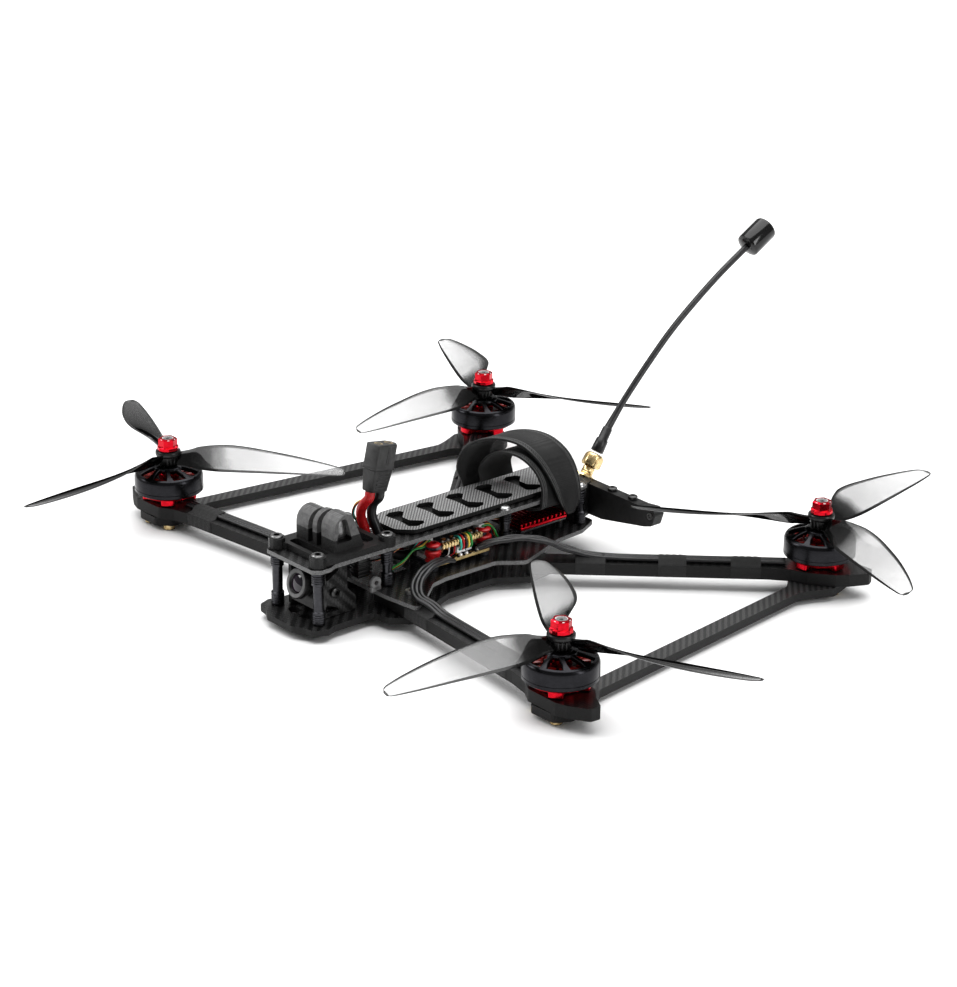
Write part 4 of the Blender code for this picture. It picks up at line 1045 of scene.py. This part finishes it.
def make_arms():
    for corner in CORNERS:
        make_wires(corner)
        paint(NODES[f"arm_{corner}"], CARBON_ARM)
        bevelled(NODES[f"arm_{corner}"], 0.25, 2, 50.0)
    for side in ("left", "right"):
        bar = NODES[f"side_bar_{side}"]
        paint(bar, CARBON_BAR)
        bevelled(bar, 0.2, 2, 50.0)
    make_motor_screws()


def make_motor_screws():
    """The gilt screw heads that the machine stands on."""
    for corner in CORNERS:
        place = Matrix.Translation(MOTORS[corner])
        heads = []
        for quarter in range(4):
            turn = Matrix.Rotation(math.radians(ARM_ANGLES[corner] + 45.0 + 90.0 * quarter), 4, "Z")
            profile = [
                (0.0, 0.9), (1.3, 0.9), (1.45, 0.02), (2.5, 0.02), (2.78, 0.35), (2.78, 2.35),
                (0.0, 2.35),
            ]
            heads.append(moved(turned(profile, 24), place @ turn @ at(9.5, 0, 0)))
        piece(f"motor_screw_heads_{corner}", merged(*heads), GOLD)


# Plates, screws and standoffs ----------------------------------------------------------


def paint(node, look):
    """Gives a carried-over CAD node a finished material."""
    node.data.materials.clear()
    node.data.materials.append(look)


def make_plates():
    plates = (
        ("bottom_plate", CARBON_BOTTOM),
        ("mid_plate", CARBON_PLATE),
        ("top_plate", CARBON_PLATE),
        ("battery_plate", CARBON_BATTERY),
        ("camera_plate_left", CARBON_CHEEK),
        ("camera_plate_right", CARBON_CHEEK),
        ("battery_pad", BLACK_PLASTIC),
    )
    for node, look in plates:
        paint(NODES[node], look)
        if node != "battery_pad":
            bevelled(NODES[node], 0.15, 2, 50.0)


def socket_screw(place, head=2.75, height=3.0, key=1.25):
    """A socket-head cap screw on the place: round well with a hexagonal floor."""
    cup = [
        (key, height), (head - 0.35, height), (head, height - 0.35), (head, 0.0), (0.0, 0.0),
    ]
    outer = turned(cup, 28)
    well = slab(hexagon(key), height - 1.6, height - 1.5)
    return moved(merged(outer, well), place)


def button_screw(place, head=2.8):
    """A button-head screw: domed, with a round recess."""
    dome = [
        (1.0, 0.7), (1.05, 1.55), (1.7, 1.45), (2.3, 1.05), (head, 0.3), (head, 0.0), (0.0, 0.0),
    ]
    return moved(turned([(0.0, 0.7), *dome], 28), place)


def make_screws():
    tops = [
        button_screw(at(x, y, TOP_PLATE_TOP))
        for x in (15.0, -15.0)
        for y in (-11.4, 36.0)
    ]
    piece("top_screws", merged(*tops), STEEL)
    caps = []
    for x in (15.0, -15.0):
        for y in (-121.4, -82.0):
            caps.append(socket_screw(at(x, y, 38.4), 2.9, 1.7, 1.4))
    piece("nose_screws", merged(*caps), NUT_STEEL)
    flip = Matrix.Rotation(math.pi, 4, "X")
    below = []
    places = ((15.0, -121.4), (11.6, -8.1), (15.0, -82.0))
    for x, y in places:
        for side in (1.0, -1.0):
            below.append(button_screw(at(side * x, y, BOTTOM_PLATE_BOTTOM) @ flip, 2.6))
    piece("bottom_screws", merged(*below), DARK_STEEL)


def knurl(start):
    """Four grooves of a column's collar, from a height up."""
    profile = []
    for step in range(4):
        height = start + 1.1 * step
        profile += [(3.0, height), (2.7, height + 0.25), (3.0, height + 0.5)]
    return profile


def make_standoffs():
    """Round aluminium columns with knurled collars."""
    for name in ("nose_front", "nose_rear", "mid", "tail"):
        for side in ("left", "right"):
            node = f"standoff_{name}_{side}"
            x = node_middle(node, 0)
            y = node_middle(node, 1)
            bottom, top = node_span(node, 2)
            profile = [(0.0, bottom), (2.7, bottom), (3.0, bottom + 0.3)]
            profile += knurl(bottom + 1.2)
            profile += [(3.0, bottom + 6.0), (2.35, bottom + 6.4)]
            profile += [(2.35, top - 6.4), (3.0, top - 6.0)]
            profile += knurl(top - 5.0)
            profile += [(3.0, top - 0.3), (2.7, top), (0.0, top)]
            bm = moved(turned(profile, 32), at(x, y, 0.0))
            column = piece(f"column_{name}_{side}", bm, BLACK_ANODISED)
            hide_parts(node)


# Camera and nose -----------------------------------------------------------------------

CAMERA_PIVOT = Vector((0.0, -110.6, 18.0))
CAMERA_TILT = 16.5


def camera_frame():
    tilt = math.radians(CAMERA_TILT)
    return aimed(CAMERA_PIVOT, (0.0, -math.cos(tilt), math.sin(tilt)))


def make_flight_camera():
    place = camera_frame()
    paint(NODES["camera_body"], BLACK_PLASTIC)
    bevelled(NODES["camera_body"], 0.4, 3, 30.0)
    barrel = [
        (5.55, 6.3), (5.55, 9.2), (6.9, 9.6), (6.98, 9.9), (6.98, 11.9), (6.6, 12.25), (5.6, 12.25),
        (5.0, 11.7), (4.4, 11.0), (4.4, 6.3),
    ]
    bm = turned(barrel, 48, closed=True)
    notches = []
    for step in range(24):
        turn = part_turn(step, 24)
        notches.append(block((0.3, 0.7, 1.9), 0.06, turn @ at(6.85, 0, 9.8)))
    bm = moved(merged(bm, *notches), place)
    ring = piece("lens_barrel", bm, LENS_BLACK, "camera", CAMERA_PIVOT)
    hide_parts("camera_lens")
    dome = [(4.6, 10.9)]
    for step in range(8):
        angle = math.radians(10.0 + 10.0 * step)
        dome.append((4.5 * math.cos(angle), 10.8 + 1.15 * math.sin(angle)))
    dome += [(0.0, 11.97), (0.0, 10.5), (4.6, 10.5)]
    bm = moved(turned(dome, 40), place)
    piece("lens_glass", bm, LENS, "camera", CAMERA_PIVOT)
    front = turned([(4.7, 12.0), (6.5, 12.0), (6.5, 12.35), (6.3, 12.42), (4.9, 12.42)], 48, closed=True)
    piece("lens_face", moved(front, place), LENS_GREY, "camera", CAMERA_PIVOT)
    inner = turned([(2.2, 11.1), (3.1, 11.35), (3.1, 11.6), (2.2, 11.75)], 32, closed=True)
    piece("lens_ring", moved(inner, place), RED_ANODISED, "camera", CAMERA_PIVOT)
    back = [
        block((15.0, 15.0, 1.2), 0.15, at(0, 0, -7.3)),
        block((6.0, 3.0, 2.0), 0.2, at(0, -4.5, -9.0)),
    ]
    bm = moved(merged(*back), place)
    piece("camera_board", bm, BOARD, "camera", CAMERA_PIVOT)
    loops = []
    for lane in range(4):
        x = 4.2 + 1.1 * lane
        loops.append(
            smooth_route(
                [
                    (x, -104.0, 15.0 + 0.6 * lane), (x + 1.4, -101.2, 19.0),
                    (x + 1.8, -103.6, 26.0), (x + 0.6, -106.0, 29.6),
                    (x - 0.6, -101.0, 30.4 - 0.4 * lane), (x - 0.8, -94.0, 28.6),
                ],
                6,
            )
        )
    strand("camera_wires", loops, 0.5, RED_SILICONE)
    screws = []
    for side in (1.0, -1.0):
        axis = aimed((side * 12.7, CAMERA_PIVOT.y, CAMERA_PIVOT.z), (side, 0, 0), (0, 1, 0))
        screws.append(button_screw(axis, 2.4))
    piece("camera_screws", merged(*screws), DARK_STEEL)


def make_nose():
    """The nose mount, its trapped nut, and the parts behind the camera."""
    paint(NODES["nose_mount"], NOSE_PRINT)
    bevelled(NODES["nose_mount"], 0.3, 2, 40.0)
    nut = slab(hexagon(4.6), 0.0, 2.6, 0.2)
    bm = moved(nut, aimed((8.6, -105.0, 46.6), (1, 0, 0), (0, 1, 0)))
    piece("prong_nut", bm, NUT_STEEL)
    ribs = []
    for side in (1.0, -1.0):
        ribs.append(block((5.0, 7.0, 8.6), 0.5, at(side * 8.0, -91.5, 19.4)))
        for step in range(4):
            shift = at(side * 8.0, -91.5, 20.2 + 1.9 * step)
            ribs.append(block((6.0, 8.0, 0.9), 0.2, shift))
    piece("antenna_blocks", merged(*ribs), BLACK_PLASTIC)
    ears = []
    for side in (1.0, -1.0):
        ring = [(1.2, -0.9), (2.7, -0.9), (2.9, -0.6), (2.9, 0.6), (2.7, 0.9), (1.2, 0.9)]
        ear = turned(ring, 28, closed=True)
        ears.append(moved(ear, aimed((side * 16.0, -89.7, 18.2), (1, 0, 0), (0, 1, 0))))
        ears.append(block((1.8, 5.6, 2.2), 0.2, at(side * 16.0, -89.7, 14.0)))
    piece("wire_ears", merged(*ears), EAR_GREY)
    lugs = []
    for side in (1.0, -1.0):
        ring = turned([(1.2, 0.0), (2.6, 0.0), (2.6, 1.6), (1.2, 1.6)], 28, closed=True)
        lugs.append(moved(ring, at(side * 29.3, -79.8, MID_PLATE_TOP + 0.05)))
    piece("plate_nuts", merged(*lugs), STEEL)


# Boards --------------------------------------------------------------------------------


def make_stack():
    """Two boards on rubber dampers, with their parts, plugs and wiring."""
    strips = []
    for node in ("esc_board", "flight_board"):
        paint(NODES[node], BOARD)
        bevelled(NODES[node], 0.1, 1, 50.0)
    for side in (1.0, -1.0):
        for x, low, length in ((18.0, 17.0, 32.5), (18.0, 25.0, 24.0)):
            shift = at(side * x, -39.75, low + 0.1)
            strips.append(block((0.5, length, 1.3), 0.08, shift))
    piece("board_edges", merged(*strips), LAMINATE)
    pads = []
    blobs = []
    for side in (1.0, -1.0):
        for step in range(9):
            y = -54.0 + 3.5 * step
            pads.append(block((2.2, 2.2, 0.25), 0.05, at(side * 16.9, y, 18.55)))
            if step % 3:
                profile = [(0.0, 1.5), (0.7, 1.3), (1.2, 0.7), (1.3, 0.0), (0.0, 0.0)]
                shift = at(side * 16.6, y, 18.7)
                blobs.append(moved(turned(profile, 14), shift))
        for step in range(14):
            y = -51.0 + 1.75 * step
            pads.append(block((1.7, 1.0, 1.1), 0.1, at(side * 16.9, y, 26.4)))
            pads.append(block((0.6, 1.0, 2.4), 0.1, at(side * 18.1, y, 24.9)))
            if step % 2:
                shift = at(side * 14.8, y, 26.6)
                profile = [(0.0, 1.1), (0.5, 0.9), (0.8, 0.0), (0.0, 0.0)]
                blobs.append(moved(turned(profile, 12), shift))
    piece("board_pads", merged(*pads), GOLD)
    piece("solder_blobs", merged(*blobs), TIN)
    plugs = []
    for x, y, wide, deep in (
        (-9.0, -54.6, 7.0, 3.4), (8.0, -54.6, 9.0, 3.4), (0.0, -25.0, 8.0, 3.4),
        (12.4, -25.2, 4.6, 3.4), (-12.4, -25.2, 4.6, 3.4),
    ):
        plugs.append(block((wide, deep, 2.9), 0.25, at(x, y, 26.6)))
        plugs.append(block((wide * 0.8, deep * 0.8, 2.2), 0.2, at(x, y, 18.6)))
    for side in (1.0, -1.0):
        plugs.append(block((3.2, 8.8, 3.0), 0.3, at(side * 16.6, -38.7, 20.6)))
    piece("board_plugs", merged(*plugs), WHITE_PLASTIC)
    chips = []
    for x, y, wide, deep, tall in (
        (0.0, -40.0, 9.0, 9.0, 1.2), (-8.5, -32.0, 4.4, 4.4, 1.0), (8.0, -32.5, 3.6, 5.4, 1.0),
        (7.2, -47.5, 3.0, 3.0, 0.9), (-7.6, -47.0, 5.0, 3.0, 0.9),
    ):
        chips.append(block((wide, deep, tall), 0.12, at(x, y, 26.6)))
    for row in range(6):
        for side in (1.0, -1.0):
            shift = at(side * 11.4, -52.0 + 4.6 * row, 18.6)
            chips.append(block((4.2, 3.6, 1.0), 0.1, shift))
    piece("board_chips", merged(*chips), BLACK_PLASTIC)
    coils = []
    for side in (1.0, -1.0):
        for y in (-49.0, -44.0, -33.0, -28.5):
            shift = at(side * 12.6, y, 21.4)
            core = [(0.7, 0.0), (1.7, 0.1), (1.7, 2.6), (0.7, 2.7)]
            coils.append(moved(turned(core, 20, closed=True), shift))
            shift = at(side * 13.0, y + 1.8, 26.6)
            coils.append(block((1.2, 2.0, 1.1), 0.12, shift))
    piece("board_inductors", merged(*coils), COPPER_WINDING)
    dampers = []
    for x in (15.25, -15.25):
        for y in (-24.75, -55.25):
            profile = [
                (1.6, 19.0), (3.5, 19.2), (3.8, 20.0), (2.9, 21.3), (3.8, 22.6), (3.8, 24.2),
                (3.2, 24.8), (1.6, 24.8),
            ]
            dampers.append(moved(turned(profile, 24, closed=True), at(x, y, 0)))
            cap = [(1.6, 26.7), (3.2, 26.8), (3.5, 27.6), (2.6, 28.3), (1.6, 28.4)]
            dampers.append(moved(turned(cap, 24, closed=True), at(x, y, 0)))
    piece("red_dampers", merged(*dampers), RED_SILICONE)
    make_harness()
    make_side_wires()


def make_side_wires():
    """Short wires that show at the boards' sides: into the plug, forward and back."""
    wires = (
        ("side_wire_teal", TEAL_WIRE, 0),
        ("side_wire_red", RED_SILICONE, 1),
        ("side_wire_black", BLACK_SILICONE, 2),
        ("side_wire_yellow", YELLOW_WIRE, 3),
        ("side_wire_green", GREEN_WIRE, 4),
    )
    for name, look, lane in wires:
        routes = []
        for side in (1.0, -1.0):
            y = -41.9 + 1.6 * lane
            plug = [
                (side * 17.9, y, 22.2), (side * 19.0, y + 0.1, 22.8), (side * 19.3, y + 0.3, 24.4),
                (side * 18.2, y + 0.5, 27.4), (side * 15.6, y + 0.8, 28.1),
                (side * 13.0, y + 1.0, 27.2),
            ]
            rear = [
                (side * (11.0 + 0.9 * lane), -25.4, 28.6),
                (side * (12.4 + 0.8 * lane), -21.5, 29.6 - 0.3 * lane),
                (side * (13.6 + 0.6 * lane), -18.6, 27.0 - 0.4 * lane),
                (side * (12.6 + 0.6 * lane), -16.6, 22.4),
                (side * (10.6 + 0.5 * lane), -12.6, 18.4),
            ]
            front = [
                (side * (9.0 + 1.0 * lane), -55.0, 28.8),
                (side * (10.2 + 0.8 * lane), -59.4, 28.6 - 0.5 * lane),
                (side * (11.2 + 0.5 * lane), -65.0, 24.6 + 0.5 * lane),
                (side * (11.4 + 0.5 * lane), -70.8, 20.4 + 0.7 * lane),
                (side * (10.2 + 0.4 * lane), -77.0, 18.2 + 0.5 * lane),
            ]
            routes += [smooth_route(knots, 6) for knots in (plug, rear, front)]
        strand(name, routes, 0.5, look)


def make_harness():
    """The thin wires between the boards, the camera and the transmitter."""
    groups = (
        ("harness_white", WHITE_WIRE, 0.35, 0.0),
        ("harness_red", RED_SILICONE, 0.4, 1.0),
        ("harness_yellow", YELLOW_WIRE, 0.35, 2.0),
        ("harness_black", BLACK_SILICONE, 0.4, 3.0),
    )
    for name, look, radius, shift in groups:
        routes = []
        for side in (1.0, -1.0):
            offset = 0.9 * shift
            forward = [
                (side * (6.6 + offset), -55.8, 27.9),
                (side * (7.2 + offset), -61.0, 29.0 - 0.4 * shift),
                (side * (8.4 + offset * 0.6), -70.0, 27.0 + 0.5 * shift),
                (side * (8.0 + offset * 0.4), -80.0, 24.2 + 0.4 * shift),
                (side * (6.4 + offset * 0.3), -92.0, 26.6 - 0.3 * shift),
            ]
            backward = [
                (side * (9.2 + 0.8 * offset), -23.8, 27.6),
                (side * (9.8 + 0.7 * offset), -18.0, 28.6 + 0.3 * shift),
                (side * (8.6 + 0.6 * offset), -9.0, 26.0 + 0.4 * shift),
                (side * (8.0 + 0.5 * offset), -1.5, 23.6 + 0.3 * shift),
            ]
            joined = [
                (side * 15.0, -48.0 + 3.2 * shift, 26.9),
                (side * (17.2 + 0.2 * shift), -47.4 + 3.2 * shift, 25.0),
                (side * (17.4 + 0.2 * shift), -47.8 + 3.2 * shift, 21.4),
                (side * 15.6, -48.2 + 3.2 * shift, 19.4),
            ]
            routes += [smooth_route(knots, 6) for knots in (forward, backward, joined)]
        strand(name, routes, radius, look)


def make_transmitter():
    """The finned red heatsink over its board."""
    x0, x1 = node_span("video_transmitter", 0)
    y0, y1 = node_span("video_transmitter", 1)
    top = node_span("video_transmitter", 2)[1]
    middle = at((x0 + x1) / 2.0, (y0 + y1) / 2.0, 0.0)
    base = block((x1 - x0, y1 - y0, 1.6), 0.2, middle @ at(0, 0, top - 3.2))
    fins = []
    count = 11
    for index in range(count):
        y = y0 + 0.8 + (y1 - y0 - 1.6) * index / (count - 1)
        shift = at((x0 + x1) / 2.0, y, top - 1.8)
        fins.append(block((x1 - x0 - 0.8, 1.1, 1.8), 0.12, shift))
    sink = piece("heatsink", merged(base, *fins), RED_ANODISED)
    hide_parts("video_transmitter")
    board = block((x1 - x0 - 0.6, y1 - y0 - 0.6, 1.1), 0.1, middle @ at(0, 0, top - 4.35))
    piece("transmitter_board", board, BOARD)
    legs = []
    for x in (-13.0, 13.0):
        for y in (1.0, 25.0):
            profile = [
                (0.0, 14.95), (1.7, 14.95), (1.7, 16.0), (1.3, 16.4), (1.7, 16.8), (1.7, 18.6),
                (0.0, 18.6),
            ]
            legs.append(moved(turned(profile, 20), at(x, y, 0.0)))
    piece("transmitter_legs", merged(*legs), BLACK_SILICONE)


# Strap and tail ------------------------------------------------------------------------

STRAP_ROUTE = [
    # x, height, middle along the drone's length, width
    (-9.6, 38.4, 5.0, 20.0), (-11.0, 45.0, 5.0, 20.0), (-7.6, 51.0, 6.5, 20.0),
    (-1.0, 54.6, 9.0, 20.0), (7.6, 54.0, 13.0, 20.0), (14.4, 48.6, 16.5, 20.0),
    (17.9, 41.0, 18.5, 20.0), (18.9, 33.0, 18.0, 20.0), (17.6, 29.5, 17.0, 20.0),
    (10.0, 28.4, 14.0, 20.0), (-10.0, 28.4, 9.5, 20.0), (-17.6, 29.5, 6.0, 20.0),
    (-18.9, 33.0, 3.0, 20.0), (-19.0, 38.0, 0.6, 20.0), (-18.6, 45.0, -2.4, 20.0),
    (-16.2, 53.6, -1.0, 20.0), (-10.8, 58.8, 3.4, 20.0), (-3.0, 60.4, 10.0, 20.0),
    (5.6, 58.8, 15.2, 20.0), (13.2, 53.6, 18.6, 20.0), (18.2, 46.2, 20.9, 18.6),
    (20.9, 38.0, 22.6, 16.0), (21.3, 30.4, 24.0, 12.8), (20.9, 24.4, 24.6, 6.4),
]


def strap_profile():
    """Across the strap: (place from -1 to 1, height off the middle), right round."""
    face = (
        (-1.0, 0.30), (-0.97, 0.62), (-0.90, 0.72), (-0.84, 0.46), (-0.80, 0.46), (-0.77, 0.72),
        (-0.70, 0.72), (-0.67, 0.56), (0.67, 0.56), (0.70, 0.72), (0.77, 0.72), (0.80, 0.46),
        (0.84, 0.46), (0.90, 0.72), (0.97, 0.62), (1.0, 0.30),
    )
    back = ((1.0, -0.45), (0.94, -0.70), (-0.94, -0.70), (-1.0, -0.45))
    return face, back


def strap_run(route, index):
    """The strap's direction at a point of its route, and outward from its loop."""
    near = route[max(index - 1, 0)]
    far = route[min(index + 1, len(route) - 1)]
    run = Vector((far.x - near.x, 0.0, far.z - near.z)).normalized()
    return run, Vector((-run.z, 0.0, run.x))


def make_strap():
    steps = 8
    knots = [(x, y, z) for x, z, y, width in STRAP_ROUTE]
    widths = [(width, 0.0, 0.0) for x, z, y, width in STRAP_ROUTE]
    route = smooth_route(knots, steps)
    half_widths = [point.x / 2.0 for point in smooth_route(widths, steps)]
    face, back = strap_profile()
    rings = []
    count = len(route)
    for index, (place, half_width) in enumerate(zip(route, half_widths)):
        outward = strap_run(route, index)[1]
        left = count - 1 - index
        if left < 12:
            half_width *= 0.62 + 0.38 * math.sqrt(left / 12.0)
        ring = []
        for part, height in face + back:
            ring.append(place + Vector((0.0, part * half_width, 0.0)) + outward * height)
        rings.append(ring)
    bm = skinned(rings)
    size = len(face) + len(back)
    for number, polygon in enumerate(bm.faces):
        around = number % size
        if number >= (count - 1) * size:
            continue
        if len(face) - 1 <= around < size - 1:
            polygon.material_index = 1
        elif around in (1, 5, len(face) - 7, len(face) - 3):
            polygon.material_index = 2
    strap = piece("strap", bm, [STRAP_FACE, STRAP_PILE, STRAP_BORDER], smooth=60.0)
    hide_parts("battery_strap")
    make_stitches(route, half_widths)


def make_stitches(route, half_widths):
    """Two rows of thread sunk along the strap's edges."""
    stitches = []
    count = len(route)
    for index in range(1, count - 8):
        run, outward = strap_run(route, index)
        for side in (1.0, -1.0):
            offset = Vector((0.0, side * half_widths[index] * 0.82, 0.0))
            place = aimed(route[index] + offset + outward * 0.44, outward, run)
            stitches.append(block((1.1, 0.32, 0.2), 0.08, place))
    piece("strap_stitching", merged(*stitches), THREAD)


AERIAL_X = 1.0
AERIAL_ROUTE = [
    (59.9, 41.2), (63.4, 46.4), (68.2, 53.2), (78.0, 64.4), (92.9, 79.2), (108.0, 92.8),
    (124.5, 105.0), (141.0, 115.8), (158.2, 125.6),
]


def make_aerial():
    """Gold socket, flexible stalk with its moulded relief, and round cap."""
    place = aimed((AERIAL_X, 50.6, 27.6), (0.0, 7.4, 10.6))
    thread = [(0.0, -4.9), (3.0, -4.9)]
    for step in range(12):
        height = -4.4 + 0.95 * step
        thread += [(3.1, height), (2.85, height + 0.45)]
    thread += [(3.0, 8.0), (0.0, 8.0)]
    collar = [
        (2.6, 8.3), (4.2, 8.6), (4.5, 9.0), (4.5, 14.2), (4.1, 14.8), (3.4, 15.35), (2.6, 15.35),
    ]
    flats = []
    for step in range(6):
        turn = Matrix.Rotation(math.radians(60.0 * step), 4, "Z")
        flats.append(block((0.5, 3.9, 4.6), 0.2, turn @ at(4.22, 0, 9.3)))
    washer = turned([(3.2, 3.2), (4.5, 3.3), (4.5, 4.3), (3.2, 4.4)], 6, closed=True)
    bm = merged(turned(thread, 32), turned(collar, 36, closed=True), washer, *flats)
    socket = piece("socket_gilt", moved(bm, place), GOLD)
    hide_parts("aerial_socket")
    knots = [Vector((AERIAL_X, y, z)) for y, z in AERIAL_ROUTE]
    first = (knots[1] - knots[0]).normalized()
    relief = (
        (0.0, 2.9), (0.3, 3.2), (6.4, 3.0), (6.9, 2.5), (12.4, 2.4), (12.9, 2.05), (13.2, 1.9),
    )
    rings = [ring_at(knots[0] + first * step, first, radius) for step, radius in relief]
    smooth = smooth_route(knots[2:], 6)[4:]
    for index, point in enumerate(smooth):
        far = smooth[min(index + 1, len(smooth) - 1)]
        near = smooth[max(index - 1, 0)]
        rings.append(ring_at(point, (far - near).normalized(), 1.6))
    stalk = piece("stalk", skinned(rings), BLACK_SILICONE, smooth=50.0)
    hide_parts("aerial_stalk")
    cap = [
        (0.0, 0.35), (2.6, 0.35), (3.4, 0.5), (5.5, 0.85), (6.0, 1.2), (6.15, 1.8), (6.15, 14.6),
        (5.9, 15.5), (5.2, 16.1), (4.2, 16.4), (0.0, 16.45),
    ]
    tangent = (knots[-1] - knots[-2]).normalized()
    bm = moved(turned(cap, 48), aimed(knots[-1], tangent))
    dome = piece("antenna_cap", bm, GLOSS_BLACK)
    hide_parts("aerial_cap")


def ring_at(place, tangent, radius, sides=20):
    frame_here = aimed(place, tangent)
    angles = [2.0 * math.pi * side / sides for side in range(sides)]
    return [
        frame_here @ Vector((radius * math.cos(a), radius * math.sin(a), 0.0)) for a in angles
    ]


def make_tail():
    paint(NODES["tail_mount"], BLACK_PRINT)
    bevelled(NODES["tail_mount"], 0.35, 2, 40.0)
    tube = [(0.9, -3.1), (1.7, -3.1), (1.75, -2.9), (1.75, 2.9), (1.7, 3.1), (0.9, 3.1)]
    bm = moved(turned(tube, 24, closed=True), aimed((52.6, 49.0, 26.8), (0, 1, 0)))
    piece("tail_eyelet", bm, STEEL)
    heads = [button_screw(at(x, 49.0, 31.0), 2.3) for x in (24.0, 38.0)]
    piece("tail_screws", merged(*heads), DARK_STEEL)


def main():
    make_camera()
    make_studio()
    make_cords()
    make_plates()
    make_screws()
    make_standoffs()
    make_arms()
    make_motors()
    make_flight_camera()
    make_nose()
    make_stack()
    make_transmitter()
    make_strap()
    make_aerial()
    make_tail()


main()
